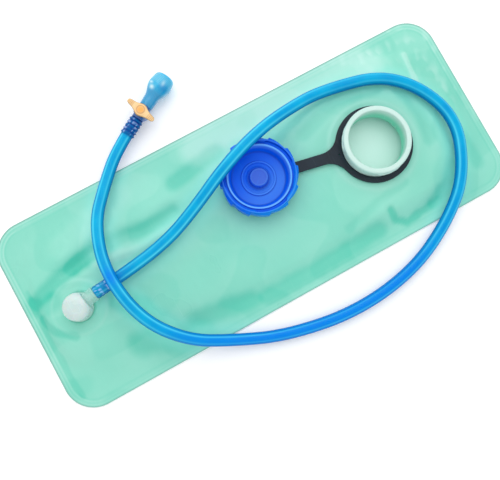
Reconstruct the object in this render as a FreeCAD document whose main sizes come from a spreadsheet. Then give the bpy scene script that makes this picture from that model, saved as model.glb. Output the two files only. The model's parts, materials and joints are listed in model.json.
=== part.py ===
"""Hydration bladder: welded bag, screw-cap filler on a tether, outlet elbow, drinking tube and bite valve.

Frame: origin on the floor under the middle of the bag, +X along the bag from the outlet to the filler,
+Z up. All lengths are in millimetres and all angles in degrees.
"""
import FreeCAD, Part
import Sketcher
import math
import os
import re

# ---------------------------------------------------------------- driving dimensions
DIMENSIONS = {
    # the bag: two films welded along a flat band
    "bag_half_length": 196, "bag_half_width": 78, "bag_corner": 24, "film": 0.5, "weld_band": 5,
    "side_run": 22, "end_run": 12, "side_thickness": 1.4, "crown": 9.5, "crown_corner": 9,
    # the filler neck and its screw cap
    "neck_x": 105.5, "neck_y": -1.1, "neck_bore": 22.7, "neck_wall": 26, "neck_rim": 24,
    "neck_thread": 27.3, "neck_lug_floor": 17.2, "film_hole": 26.2, "neck_flange": 36, "flange": 1.4,
    "rim_bevel": 1, "lug_root": 0.5, "lug_height": 2.2, "lug_sweep": 50, "lug_tilt": 2.5, "lug_count": 3,
    "cap_radius": 29.5, "cap_grip": 31, "cap_grips": 12, "cap_depth": 14, "cap_plate": 2,
    "grip_run": 12.9, "grip_fall": 4.5, "grip_root": 1, "grip_root_fall": 3.2, "grip_end": 1,
    "cap_recess": 27.9, "cap_thread": 26.6, "cap_lug_drop": 2.8, "cap_boss": 7, "cap_boss_rise": 6,
    "cap_step": 13.5, "cap_step_wall": 1.2, "cap_step_rise": 1.2, "overlap": 0.5,
    "seal_inner": 21.8, "seal_outer": 27.7, "seal_height": 1.6,
    # the tether between the neck and the cap
    "ring_inner": 26.3, "ring_outer": 31, "ring_floor": 9.8, "ring_height": 2.6,
    "strap_width": 9, "strap_floor": 10.9, "strap_height": 1.5, "strap_root": 1.2, "strap_flare": 20,
    "flare_reach": 38,
    "bend_reach": 48.25, "bend_gap": 0.2, "cap_reach": 96.5, "tether_angle": 168.6,
    "eyelet": 8, "eyelet_bore": 3.2, "pin_radius": 3.1, "pin_head": 6, "pin_head_height": 1,
    "pin_head_floor": 9.7, "cap_floor": 12.7, "shank": 2.5, "shank_length": 5, "fit_gap": 0.05,
    "end_gap": 0.2,
    # the outlet: welded port, elbow and tube connector
    "outlet_x": -156.4, "outlet_y": -3.2, "outlet_angle": 9.6, "outlet_height": 18,
    "port_flange": 21, "port_hub": 11, "outlet_hole": 11.3, "port_top": 11.8, "port_socket": 8,
    "port_depth": 2.3, "plug_length": 2.2, "groove_below": 1.7, "groove_above": 0.5, "port_cord": 0.45,
    "elbow_radius": 10.8, "elbow_top": 26.4, "elbow_round": 6.5, "elbow_face": 9, "elbow_bore": 3,
    "spigot": 7.9, "groove_floor": 7, "connector_socket": 4.6, "connector_plug": 4.55,
    "connector_back": 4, "groove_back": 5.4, "groove_front": 7, "plug_groove": 3.6, "plug_cord": 0.4,
    "plug_cord_middle": 4.075, "collar": 6, "tube_start": 16.5, "barb_lead": 1, "connector_end": 31,
    # the drinking tube
    "tube_outer": 4.8, "tube_inner": 3.2,
    # the shut-off valve and the bite valve, measured from the lever's centre along the flow
    "valve_x": -43.8, "valve_y": 108.2, "valve_angle": 28.5, "valve_height": 9.4,
    "flow_bore": 2.2, "barb_core": 3.1, "barb_crest": 3.9, "barb_pitch": 3, "barb_back": 21.5,
    "tube_end": 6.2, "body_radius": 4.9, "body_front": 17.3, "bead": 4.4, "bead_length": 4, "nozzle": 3.8,
    "nozzle_end": 26, "housing": 5.7, "housing_floor": 5.8, "housing_top": 5.2, "cut_margin": 1,
    "rotor_bore": 3.65, "rotor": 3.6, "rotor_half": 4.8, "rotor_play": 0.1, "rotor_groove": 3,
    "groove_mid": 3.3, "groove_half": 0.4, "rotor_cord": 0.27,
    "stem": 2, "stem_gap": 0.02, "stem_top": 8.3, "lever_floor": 5.5, "lever_top": 8.9, "lever_hub": 5.2,
    "wing_start": 3, "wing_reach": 13.5, "wing_tip": 1.8, "wing_root": 4.2, "wing_floor": 5.9,
    "wing_height": 2.2,
    "bite_neck": 6.2, "bite_flare": 4.5, "bite_shoulder": 9.25, "bite_shoulder_end": 7,
    "bite_front": 7.75, "bite_tip": 1.5, "bite_tip_fall": 2.2, "bite_inner_fall": 3, "bite_end": 34.8,
    "bite_wall": 1.8, "bead_gap": 0.1, "bite_stop": 0.3, "slit_width": 0.8, "slit_length": 9,
}

# The tube's route, from the connector's collar to the shut-off valve, chosen by hand.
TUBE_ROUTE = [
    (-140.13, -0.45, 18), (-113, 4.1, 17.5), (-74, 12.5, 16), (-42, 23, 25), (-13, 36, 42), (21, 48, 42),
    (53, 57, 27), (90, 61, 15.6), (146, 46, 15.6), (169, -13, 15.6), (160, -62, 15), (133, -94, 6.5),
    (86, -117, 5.1), (26, -123, 5.1), (-31, -109, 5.1), (-69, -89, 8), (-98, -67, 21), (-120, -35, 36),
    (-127, 8, 36), (-120, 48, 21), (-101, 75, 11), (-73.9, 91.9, 9.4), (-49.25, 105.24, 9.4),
]
ARC_SHARE = 0.45  # the part of the shorter run that an arc takes up
NO_CHANGE = 1e-3  # a cut that takes away less than this, in cubic millimetres, has missed
SAME_HEIGHT = 1e-6

doc = FreeCAD.newDocument("HydrationBladder")
sheet = doc.addObject("Spreadsheet::Sheet", "Dims")
for row, (alias, number) in enumerate(DIMENSIONS.items(), start=1):
    sheet.set(f"A{row}", alias)
    sheet.set(f"B{row}", str(number))
    sheet.setAlias(f"B{row}", alias)
doc.recompute()


# ---------------------------------------------------------------- helpers
def value(text):
    """The number that a sum of aliases and numbers comes to, such as "crown - 2 * film"."""
    total = 0.0
    for term in text.replace("- ", "+ -").split("+ "):
        sign, product = (-1, term[1:]) if term.startswith("-") else (1, term)
        for factor in product.split("*"):
            name = factor.strip()
            sign *= DIMENSIONS[name] if name in DIMENSIONS else float(name)
        total += sign
    return total


def bound(text):
    """The same sum as an expression on the spreadsheet's cells."""
    return re.sub(r"[a-z_]*[a-z][a-z_]*", r"Dims.\g<0>", text)


def new_body(label):
    body = doc.addObject("PartDesign::Body", label)
    body.Label = label
    return body


def place(piece, x="0", y="0", z="0", angle="0"):
    """Sets the piece down at (x, y, z), turned about +Z."""
    piece.Placement = FreeCAD.Placement(
        FreeCAD.Vector(value(x), value(y), value(z)), FreeCAD.Rotation(FreeCAD.Vector(0, 0, 1), value(angle))
    )
    for axis, text in zip("xyz", (x, y, z)):
        piece.setExpression(f"Placement.Base.{axis}", bound(text))
    piece.setExpression("Placement.Rotation.Angle", bound(angle))


def new_sketch(body, name, plane="XY_Plane", offset="0", tilt="0"):
    """A sketch on one of the body's origin planes, moved along its normal, or tilted about its own X."""
    sketch = body.newObject("Sketcher::SketchObject", name)
    origin_plane = next(f for f in body.Origin.OriginFeatures if f.Role == plane)
    sketch.AttachmentSupport = [(origin_plane, "")]
    sketch.MapMode = "FlatFace"
    if tilt == "0":
        sketch.setExpression("AttachmentOffset.Base.z", bound(offset))
    else:
        sketch.AttachmentOffset = FreeCAD.Placement(
            FreeCAD.Vector(0, value(offset), 0), FreeCAD.Rotation(FreeCAD.Vector(1, 0, 0), value(tilt))
        )
        sketch.setExpression("AttachmentOffset.Base.y", bound(offset))
    return sketch


def fix(sketch, kind, *where, text):
    """Adds one dimension and binds it to the spreadsheet."""
    number = sketch.addConstraint(Sketcher.Constraint(kind, *where, value(text)))
    sketch.setExpression(f"Constraints[{number}]", bound(text))


def outline(sketch, corners):
    """A closed outline of straight sides whose corners are pairs of sums on the spreadsheet."""
    points = [FreeCAD.Vector(value(x), value(y), 0) for x, y in corners]
    for here, there in zip(points, points[1:] + points[:1]):
        sketch.addGeometry(Part.LineSegment(here, there))
    for side in range(len(points)):
        sketch.addConstraint(Sketcher.Constraint("Coincident", side, 2, (side + 1) % len(points), 1))
        for kind, axis, text in (("DistanceX", -2, corners[side][0]), ("DistanceY", -1, corners[side][1])):
            if value(text) == 0:
                sketch.addConstraint(Sketcher.Constraint("PointOnObject", side, 1, axis))
            else:
                fix(sketch, kind, -1, 1, side, 1, text=text)


def disc(sketch, radius, x="0", y="0"):
    """A circle about (x, y)."""
    centre = FreeCAD.Vector(value(x), value(y), 0)
    number = sketch.addGeometry(Part.Circle(centre, FreeCAD.Vector(0, 0, 1), value(radius)))
    fix(sketch, "Radius", number, text=radius)
    for kind, axis, text in (("DistanceX", -2, x), ("DistanceY", -1, y)):
        if value(text) == 0:
            sketch.addConstraint(Sketcher.Constraint("PointOnObject", number, 3, axis))
        else:
            fix(sketch, kind, -1, 1, number, 3, text=text)


def rounded_rectangle(sketch, half_length, half_width, corner):
    """A rectangle about the origin with round corners."""
    radius = value(corner)
    inner_x, inner_y = value(half_length) - radius, value(half_width) - radius
    ends = []
    for sx, sy, start in ((1, 1, 0), (-1, 1, 90), (-1, -1, 180), (1, -1, 270)):
        circle = Part.Circle(FreeCAD.Vector(sx * inner_x, sy * inner_y, 0), FreeCAD.Vector(0, 0, 1), radius)
        arc = Part.ArcOfCircle(circle, math.radians(start), math.radians(start + 90))
        sketch.addGeometry(arc)
        ends.append((arc.StartPoint, arc.EndPoint))
    for corner_number in range(4):
        sketch.addGeometry(Part.LineSegment(ends[corner_number][1], ends[(corner_number + 1) % 4][0]))
    for corner_number in range(4):
        side, after = 4 + corner_number, (corner_number + 1) % 4
        sketch.addConstraint(Sketcher.Constraint("Tangent", corner_number, 2, side, 1))
        sketch.addConstraint(Sketcher.Constraint("Tangent", side, 2, after, 1))
        sketch.addConstraint(Sketcher.Constraint("Vertical" if corner_number % 2 else "Horizontal", side))
        if corner_number:
            sketch.addConstraint(Sketcher.Constraint("Equal", 0, corner_number))
    fix(sketch, "Radius", 0, text=corner)
    fix(sketch, "DistanceX", -1, 1, 0, 1, text=half_length)
    fix(sketch, "DistanceY", -1, 1, 0, 2, text=half_width)
    fix(sketch, "DistanceX", 2, 1, -1, 1, text=half_length)
    fix(sketch, "DistanceY", 2, 2, -1, 1, text=half_width)


def pad(body, sketch, height):
    feature = body.newObject("PartDesign::Pad", f"{sketch.Name}_pad")
    feature.Profile = sketch
    feature.setExpression("Length", bound(height))
    return feature


def pocket(body, sketch, depth, upward=False):
    """Cuts away from the sketch, against its normal unless upward, and checks that something was cut."""
    doc.recompute()
    before = body.Shape.Volume
    feature = body.newObject("PartDesign::Pocket", f"{sketch.Name}_cut")
    feature.Profile = sketch
    feature.setExpression("Length", bound(depth))
    feature.Reversed = upward
    doc.recompute()
    assert body.Shape.Volume < before - NO_CHANGE, f"{sketch.Name} cuts nothing"
    return feature


def revolve(body, sketch, axis="V_Axis", sweep="360"):
    feature = body.newObject("PartDesign::Revolution", f"{sketch.Name}_turned")
    feature.Profile = sketch
    feature.ReferenceAxis = (sketch, [axis])
    feature.Midplane = sweep != "360"
    feature.setExpression("Angle", bound(sweep))
    return feature


def around(body, feature, count):
    """Repeats a feature evenly about the body's Z axis."""
    doc.recompute()
    pattern = body.newObject("PartDesign::PolarPattern", f"{feature.Name}_pattern")
    pattern.Originals = [feature]
    pattern.Axis = (next(f for f in body.Origin.OriginFeatures if f.Role == "Z_Axis"), [""])
    pattern.Angle = 360
    pattern.setExpression("Occurrences", bound(count))
    body.Tip = pattern
    return pattern


def turned(label, corners, plane="XZ_Plane", axis="V_Axis"):
    """A body of revolution about +Z, or about its own X with the H axis."""
    body = new_body(label)
    section = new_sketch(body, f"{label}_section", plane)
    outline(section, corners)
    revolve(body, section, axis)
    return body


def seal_ring(label, mid_radius, section_radius):
    """An O-ring as a torus."""
    ring = doc.addObject("Part::Torus", label)
    ring.Label = label
    ring.setExpression("Radius1", bound(mid_radius))
    ring.setExpression("Radius2", bound(section_radius))
    return ring


def barbs(first, pitch, count, core, crest):
    """Corners of saw-tooth barbs along +X from first, each rising slowly and dropping at its end."""
    corners = []
    for number in range(count):
        corners.append((f"{first} + {number} * {pitch}", core))
        corners.append((f"{first} + {number + 1} * {pitch}", crest))
    return corners


# ---------------------------------------------------------------- the bag
def back_film():
    body = new_body("back_film")
    film_outline = new_sketch(body, "back_outline")
    rounded_rectangle(film_outline, "bag_half_length", "bag_half_width", "bag_corner")
    pad(body, film_outline, "film")


def sloping_block(body, kind, insets, height):
    """Adds or cuts a low block with sloping sides: wide where the films part, narrow at the crown."""
    low = new_sketch(body, f"{kind}_low", offset="film")
    low_sizes = [
        " - ".join([size, *insets]) for size in ("bag_half_length", "bag_half_width", "bag_corner")
    ]
    rounded_rectangle(low, *low_sizes)
    high = new_sketch(body, f"{kind}_high", offset=height)
    rounded_rectangle(
        high, "bag_half_length - weld_band - end_run", "bag_half_width - weld_band - side_run", "crown_corner"
    )
    loft = body.newObject(f"PartDesign::{kind}Loft", f"{kind}_block")
    loft.Profile = low
    loft.Sections = [high]
    loft.Ruled = True


def front_film():
    """The upper film: flat weld band, sloping sides and a flat crown with a hole for each fitting."""
    body = new_body("front_film")
    band = new_sketch(body, "front_outline", offset="film")
    rounded_rectangle(band, "bag_half_length", "bag_half_width", "bag_corner")
    pad(body, band, "film")
    sloping_block(body, "Additive", ["weld_band"], "crown")
    sloping_block(body, "Subtractive", ["weld_band", "side_thickness"], "crown - film")
    holes = new_sketch(body, "fitting_holes", offset="crown")
    disc(holes, "film_hole", "neck_x", "neck_y")
    disc(holes, "outlet_hole", "outlet_x", "outlet_y")
    pocket(body, holes, "2 * film")


# ---------------------------------------------------------------- the filler neck and its cap
def thread_lugs(body, name, corners, floor):
    """Short thread starts, tilted like a helix and spread evenly about the axis."""
    lug = new_sketch(body, name, "XZ_Plane", offset=floor, tilt="lug_tilt")
    outline(lug, corners)
    around(body, revolve(body, lug, sweep="lug_sweep"), "lug_count")


def filler_neck():
    """Weld flange under the film, and the threaded collar that the cap screws on to."""
    rim = "neck_rim - crown + film + flange"
    body = turned("filler_neck", [
        ("neck_bore", "0"), ("neck_flange", "0"), ("neck_flange", "flange"), ("neck_wall", "flange"),
        ("neck_wall", f"{rim} - 2 * rim_bevel"), ("neck_wall - rim_bevel", rim),
        ("neck_bore + rim_bevel", rim), ("neck_bore", f"{rim} - rim_bevel"),
    ])
    thread_lugs(body, "neck_lug", [
        ("neck_wall - lug_root", "0"), ("neck_thread", "0.3 * lug_height"),
        ("neck_thread", "0.7 * lug_height"), ("neck_wall - lug_root", "lug_height"),
    ], "neck_lug_floor - crown + film + flange")
    place(body, "neck_x", "neck_y", "crown - film - flange")


def screw_cap():
    """The cap as it lies, plate down: grip ribs, inner thread, gasket seat, centre boss and pin socket."""
    body = new_body("screw_cap")
    wall = new_sketch(body, "cap_outline")
    disc(wall, "cap_radius")
    pad(body, wall, "cap_depth")
    grip = new_sketch(body, "cap_grip_rib")
    outline(grip, [
        ("cap_recess + grip_root", "0"), ("cap_grip", "0"), ("cap_grip - grip_fall", "-grip_run"),
        ("cap_recess + grip_root - grip_root_fall", "-grip_run"),
    ])
    around(body, pad(body, grip, "cap_depth - grip_end"), "cap_grips")
    recess = new_sketch(body, "cap_recess_outline", offset="cap_depth")
    disc(recess, "cap_recess")
    pocket(body, recess, "cap_depth - cap_plate")
    boss = new_sketch(body, "cap_boss_outline", offset="cap_plate - overlap")
    disc(boss, "cap_boss")
    pad(body, boss, "cap_boss_rise + overlap")
    step = new_sketch(body, "cap_step_outline", offset="cap_plate - overlap")
    disc(step, "cap_step")
    disc(step, "cap_step - cap_step_wall")
    pad(body, step, "cap_step_rise + overlap")
    socket = new_sketch(body, "pin_socket")
    disc(socket, "shank + fit_gap")
    pocket(body, socket, "shank_length + end_gap", upward=True)
    thread_lugs(body, "cap_lug", [
        ("cap_recess + lug_root", "0"), ("cap_thread", "0.3 * lug_height"),
        ("cap_thread", "0.6 * lug_height"), ("cap_recess + lug_root", "0.9 * lug_height"),
    ], "cap_depth - cap_lug_drop")
    put_on_tether(body, "cap_floor", reach="cap_reach")


def cap_seal():
    """The flat gasket that the neck's rim presses on."""
    body = new_body("cap_seal")
    ring = new_sketch(body, "seal_outline")
    disc(ring, "seal_outer")
    disc(ring, "seal_inner")
    pad(body, ring, "seal_height")
    put_on_tether(body, "cap_floor + cap_plate", reach="cap_reach")


def cap_pin():
    """The headed pin that holds the strap's eyelet to the cap and lets the cap turn."""
    shoulder = "cap_floor - pin_head_floor"
    body = turned("cap_pin", [
        ("0", "0"), ("pin_head", "0"), ("pin_head", "pin_head_height"), ("pin_radius", "pin_head_height"),
        ("pin_radius", shoulder), ("shank", shoulder),
        ("shank", f"{shoulder} + shank_length"), ("0", f"{shoulder} + shank_length"),
    ])
    put_on_tether(body, "pin_head_floor", reach="cap_reach")


# ---------------------------------------------------------------- the tether
def put_on_tether(piece, floor, reach="0"):
    """Sets a piece down on the line from the neck to the cap, its own X along that line."""
    bearing = math.radians(value("tether_angle"))
    piece.Placement = FreeCAD.Placement(
        FreeCAD.Vector(
            value("neck_x") + value(reach) * math.cos(bearing),
            value("neck_y") + value(reach) * math.sin(bearing),
            value(floor),
        ),
        FreeCAD.Rotation(FreeCAD.Vector(0, 0, 1), value("tether_angle")),
    )
    line = f"{bound(reach)} * %s(Dims.tether_angle)"
    piece.setExpression("Placement.Base.x", "Dims.neck_x + " + line % "cos")
    piece.setExpression("Placement.Base.y", "Dims.neck_y + " + line % "sin")
    piece.setExpression("Placement.Base.z", bound(floor))
    piece.setExpression("Placement.Rotation.Angle", "Dims.tether_angle")


def tether_ring():
    """The ring round the neck with the inner half of the strap, which widens into the ring."""
    body = new_body("tether_ring")
    ring = new_sketch(body, "ring_outline")
    disc(ring, "ring_outer")
    disc(ring, "ring_inner")
    pad(body, ring, "ring_height")
    strap = new_sketch(body, "inner_strap", offset="strap_floor - ring_floor")
    root, end = "ring_inner + strap_root", "bend_reach - bend_gap"
    outline(strap, [
        (root, "0.5 * strap_flare"), (root, "-0.5 * strap_flare"), ("flare_reach", "-0.5 * strap_width"),
        (end, "-0.5 * strap_width"), (end, "0.5 * strap_width"), ("flare_reach", "0.5 * strap_width"),
    ])
    pad(body, strap, "strap_height")
    put_on_tether(body, "ring_floor")


def tether_strap():
    """The outer half of the strap with the eyelet that the cap's pin goes through."""
    body = new_body("tether_strap")
    strap = new_sketch(body, "outer_strap")
    start = "bend_reach + bend_gap"
    outline(strap, [
        (start, "-0.5 * strap_width"), ("cap_reach", "-0.5 * strap_width"),
        ("cap_reach", "0.5 * strap_width"), (start, "0.5 * strap_width"),
    ])
    pad(body, strap, "strap_height")
    eyelet = new_sketch(body, "eyelet_outline")
    disc(eyelet, "eyelet", "cap_reach")
    pad(body, eyelet, "strap_height")
    bore = new_sketch(body, "eyelet_bore", offset="strap_height")
    disc(bore, "eyelet_bore", "cap_reach")
    pocket(body, bore, "strap_height")
    put_on_tether(body, "strap_floor")


# ---------------------------------------------------------------- the outlet
def outlet_port():
    """Weld flange under the film with a hub and a socket for the elbow."""
    top = "port_top - crown + film + flange"
    body = turned("outlet_port", [
        ("elbow_bore", "0"), ("port_flange", "0"), ("port_flange", "flange"), ("port_hub", "flange"),
        ("port_hub", top), ("port_socket", top), ("port_socket", f"{top} - port_depth"),
        ("elbow_bore", f"{top} - port_depth"),
    ])
    place(body, "outlet_x", "outlet_y", "crown - film - flange", "outlet_angle")


def outlet_elbow():
    """The domed elbow: a plug for the port, a round top and a flat face for the tube's connector."""
    foot = "port_top - plug_length"
    groove_low, groove_high = "port_top - groove_below", "port_top - groove_above"
    body = turned("outlet_elbow", [
        ("elbow_bore", foot), ("spigot", foot), ("spigot", groove_low), ("groove_floor", groove_low),
        ("groove_floor", groove_high), ("spigot", groove_high), ("spigot", "port_top"),
        ("elbow_radius", "port_top"), ("elbow_radius", "elbow_top"), ("0", "elbow_top"),
        ("0", "outlet_height"), ("elbow_bore", "outlet_height"),
    ])
    doc.recompute()
    top = value("elbow_top")
    rim = max(
        (number for number, edge in enumerate(body.Shape.Edges, start=1)
         if isinstance(edge.Curve, Part.Circle) and abs(edge.BoundBox.ZMin - top) < SAME_HEIGHT),
        key=lambda number: body.Shape.Edges[number - 1].Length,
    )
    turned_blank = body.Tip
    dome = body.newObject("PartDesign::Fillet", "elbow_dome")
    dome.Base = (turned_blank, [f"Edge{rim}"])
    dome.setExpression("Radius", bound("elbow_round"))
    face = new_sketch(body, "elbow_face_cut", offset="elbow_top")
    outline(face, [
        ("elbow_face", "-elbow_radius"), ("elbow_radius + cut_margin", "-elbow_radius"),
        ("elbow_radius + cut_margin", "elbow_radius"), ("elbow_face", "elbow_radius"),
    ])
    pocket(body, face, "elbow_top - port_top")
    socket = new_sketch(body, "connector_socket", "YZ_Plane", offset="elbow_face")
    disc(socket, "connector_socket", "0", "outlet_height")
    pocket(body, socket, "elbow_face - connector_back")
    bore = new_sketch(body, "elbow_cross_bore", "YZ_Plane", offset="elbow_face")
    disc(bore, "elbow_bore", "0", "outlet_height")
    pocket(body, bore, "elbow_face")
    place(body, "outlet_x", "outlet_y", "0", "outlet_angle")


def port_seal():
    ring = seal_ring("port_seal", "0.5 * groove_floor + 0.5 * port_socket", "port_cord")
    place(ring, "outlet_x", "outlet_y", "port_top - 0.5 * groove_below - 0.5 * groove_above")


def tube_connector():
    """The clear insert between the elbow and the tube: sealed plug, collar and hose barbs."""
    back = "connector_back + end_gap"
    corners = [
        (back, "flow_bore"), (back, "connector_plug"), ("groove_back", "connector_plug"),
        ("groove_back", "plug_groove"), ("groove_front", "plug_groove"), ("groove_front", "connector_plug"),
        ("elbow_face", "connector_plug"), ("elbow_face", "collar"), ("tube_start", "collar"),
        ("tube_start", "barb_core"),
    ]
    corners += barbs("tube_start + barb_lead", "barb_pitch", 4, "barb_core", "barb_crest")[1:]
    corners += [("connector_end", "barb_core"), ("connector_end", "flow_bore")]
    body = turned("tube_connector", corners, axis="H_Axis")
    place(body, "outlet_x", "outlet_y", "outlet_height", "outlet_angle")


def connector_seal():
    ring = seal_ring("connector_seal", "plug_cord_middle", "plug_cord")
    reach = FreeCAD.Vector(value("0.5 * groove_back + 0.5 * groove_front"), 0, 0)
    bearing = FreeCAD.Rotation(FreeCAD.Vector(0, 0, 1), value("outlet_angle"))
    centre = FreeCAD.Vector(value("outlet_x"), value("outlet_y"), value("outlet_height"))
    across = FreeCAD.Rotation(FreeCAD.Vector(0, 1, 0), 90)
    ring.Placement = FreeCAD.Placement(centre + bearing.multVec(reach), bearing * across)


# ---------------------------------------------------------------- the drinking tube
def tube_path():
    """Straight runs joined by tangent arcs, as large as the two runs beside each one allow."""
    points = [FreeCAD.Vector(*point) for point in TUBE_ROUTE]
    edges, here = [], points[0]
    for before, corner, after in zip(points, points[1:], points[2:]):
        back, ahead = (before - corner).normalize(), (after - corner).normalize()
        half_turn = (math.pi - back.getAngle(ahead)) / 2
        cut = ARC_SHARE * min((before - corner).Length, (after - corner).Length)
        radius = cut / math.tan(half_turn)
        print(f"tube turn of {math.degrees(2 * half_turn):.0f} degrees, radius {radius:.0f} mm")
        start, end = corner + back * cut, corner + ahead * cut
        middle = corner + (back + ahead).normalize() * (radius / math.cos(half_turn) - radius)
        edges += [Part.LineSegment(here, start).toShape(), Part.Arc(start, middle, end).toShape()]
        here = end
    edges.append(Part.LineSegment(here, points[-1]).toShape())
    return Part.Wire(edges)


def drinking_tube():
    path = tube_path()
    first = path.Edges[0]
    heading = (first.Vertexes[1].Point - first.Vertexes[0].Point).normalize()
    walls = []
    for radius in (value("tube_outer"), value("tube_inner")):
        ring = Part.Wire(Part.makeCircle(radius, path.Vertexes[0].Point, heading))
        walls.append(path.makePipeShell([ring], True, True))
    tube = walls[0].cut(walls[1])
    section = math.pi * (value("tube_outer") ** 2 - value("tube_inner") ** 2)
    share = tube.Volume / (section * path.Length)
    print(f"tube length {path.Length:.0f} mm, volume {share:.4f} of section x length")
    piece = doc.addObject("Part::Feature", "drinking_tube")
    piece.Label = "drinking_tube"
    piece.Shape = tube


# ---------------------------------------------------------------- the shut-off valve and the bite valve
def put_on_valve(piece, height="valve_height"):
    place(piece, "valve_x", "valve_y", height, "valve_angle")


def valve_body():
    """Hose barbs, the housing of the shut-off rotor and the nozzle that the bite valve is pushed on to."""
    bead_back = "nozzle_end - bead_length"
    corners = [("-barb_back", "0"), ("-barb_back", "barb_core")]
    corners += barbs("-barb_back", "barb_pitch", 5, "barb_core", "barb_crest")[1:]
    corners += [("-tube_end", "barb_core"), ("-tube_end", "body_radius"), ("body_front", "body_radius"),
                ("body_front", "nozzle"), (bead_back, "nozzle"), (bead_back, "bead"),
                ("nozzle_end", "nozzle"), ("nozzle_end", "0")]
    body = new_body("valve_body")
    section = new_sketch(body, "valve_section", "XZ_Plane")
    outline(section, corners)
    revolve(body, section, "H_Axis")
    housing = new_sketch(body, "rotor_housing", offset="-housing_floor")
    disc(housing, "housing")
    pad(body, housing, "housing_floor + housing_top")
    cavity = new_sketch(body, "rotor_cavity", offset="housing_top")
    disc(cavity, "rotor_bore")
    pocket(body, cavity, "housing_top + rotor_half + rotor_play")
    bore = new_sketch(body, "flow_bore_outline", "YZ_Plane", offset="nozzle_end")
    disc(bore, "flow_bore")
    pocket(body, bore, "nozzle_end + barb_back")
    put_on_valve(body)


def valve_rotor():
    """The plug that turns in the housing: a cross bore, two seal grooves and the stem for the lever."""
    low, high = "-groove_mid", "groove_mid"
    body = turned("valve_rotor", [
        ("0", "-rotor_half"), ("rotor", "-rotor_half"),
        ("rotor", f"{low} - groove_half"), ("rotor_groove", f"{low} - groove_half"),
        ("rotor_groove", f"{low} + groove_half"), ("rotor", f"{low} + groove_half"),
        ("rotor", f"{high} - groove_half"), ("rotor_groove", f"{high} - groove_half"),
        ("rotor_groove", f"{high} + groove_half"), ("rotor", f"{high} + groove_half"),
        ("rotor", "rotor_half"), ("stem", "rotor_half"), ("stem", "stem_top"), ("0", "stem_top"),
    ])
    bore = new_sketch(body, "rotor_cross_bore", "XZ_Plane", offset="-rotor - cut_margin")
    disc(bore, "flow_bore")
    pocket(body, bore, "2 * rotor + 2 * cut_margin", upward=True)
    put_on_valve(body)


def rotor_seal(label, height):
    ring = seal_ring(label, "0.5 * rotor + 0.5 * rotor_groove", "rotor_cord")
    put_on_valve(ring, height)


def shutoff_lever():
    """The lever with two pointed finger wings, pressed on the rotor's stem, across the flow when shut."""
    body = new_body("shutoff_lever")
    wings = new_sketch(body, "wing_outline", offset="wing_floor")
    outline(wings, [
        ("wing_root", "-wing_start"), ("wing_tip", "-wing_reach"),
        ("-wing_tip", "-wing_reach"), ("-wing_root", "-wing_start"),
        ("-wing_root", "wing_start"), ("-wing_tip", "wing_reach"),
        ("wing_tip", "wing_reach"), ("wing_root", "wing_start"),
    ])
    pad(body, wings, "wing_height")
    hub = new_sketch(body, "hub_outline", offset="lever_floor")
    disc(hub, "lever_hub")
    pad(body, hub, "lever_top - lever_floor")
    socket = new_sketch(body, "stem_socket", offset="lever_floor")
    disc(socket, "stem + stem_gap")
    pocket(body, socket, "stem_top - lever_floor + fit_gap", upward=True)
    put_on_valve(body)


def bite_valve():
    """The soft mouthpiece: wide shoulder, tapering front, and a slit through its end wall."""
    groove_back = "nozzle_end - bead_length - end_gap"
    body = turned("bite_valve", [
        ("body_front", "nozzle + fit_gap"), ("body_front", "bite_neck"),
        ("body_front + bite_flare", "bite_shoulder"), ("body_front + bite_shoulder_end", "bite_shoulder"),
        ("bite_end - bite_tip", "bite_front"), ("bite_end", "bite_front - bite_tip_fall"),
        ("bite_end", "0"), ("bite_end - bite_wall", "0"),
        ("bite_end - bite_wall", "bite_front - bite_inner_fall"),
        ("nozzle_end + bite_stop", "bite_front - bite_tip_fall"),
        ("nozzle_end + bite_stop", "bead + bead_gap"),
        (groove_back, "bead + bead_gap"), (groove_back, "nozzle + fit_gap"),
    ], axis="H_Axis")
    slit = new_sketch(body, "slit_outline", "YZ_Plane", offset="bite_end")
    outline(slit, [
        ("-0.5 * slit_length", "-0.5 * slit_width"), ("0.5 * slit_length", "-0.5 * slit_width"),
        ("0.5 * slit_length", "0.5 * slit_width"), ("-0.5 * slit_length", "0.5 * slit_width"),
    ])
    pocket(body, slit, "bite_wall + end_gap")
    put_on_valve(body)


back_film()
front_film()
filler_neck()
screw_cap()
cap_seal()
cap_pin()
tether_ring()
tether_strap()
outlet_port()
outlet_elbow()
port_seal()
tube_connector()
connector_seal()
drinking_tube()
valve_body()
valve_rotor()
rotor_seal("upper_rotor_seal", "valve_height + groove_mid")
rotor_seal("lower_rotor_seal", "valve_height - groove_mid")
shutoff_lever()
bite_valve()
doc.recompute()

for thing in doc.Objects:
    assert not {"Invalid", "Error"} & set(thing.State), f"{thing.Label}: {thing.State}"
sub_parts = [
    thing for thing in doc.Objects if thing.TypeId in ("PartDesign::Body", "Part::Torus", "Part::Feature")
]
os.makedirs("parts", exist_ok=True)
for piece in sub_parts:
    assert not piece.Shape.isNull() and piece.Shape.isValid(), f"{piece.Label} has no valid shape"
    assert len(piece.Shape.Solids) == 1, f"{piece.Label} has {len(piece.Shape.Solids)} solids"
    piece.Shape.exportStep(f"parts/{piece.Label}.step")
    box = piece.Shape.optimalBoundingBox()
    print(f"{piece.Label:18} {piece.Shape.Volume:9.0f} mm3  z {box.ZMin:6.2f} to {box.ZMax:6.2f}")
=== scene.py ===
import json
import math

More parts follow.
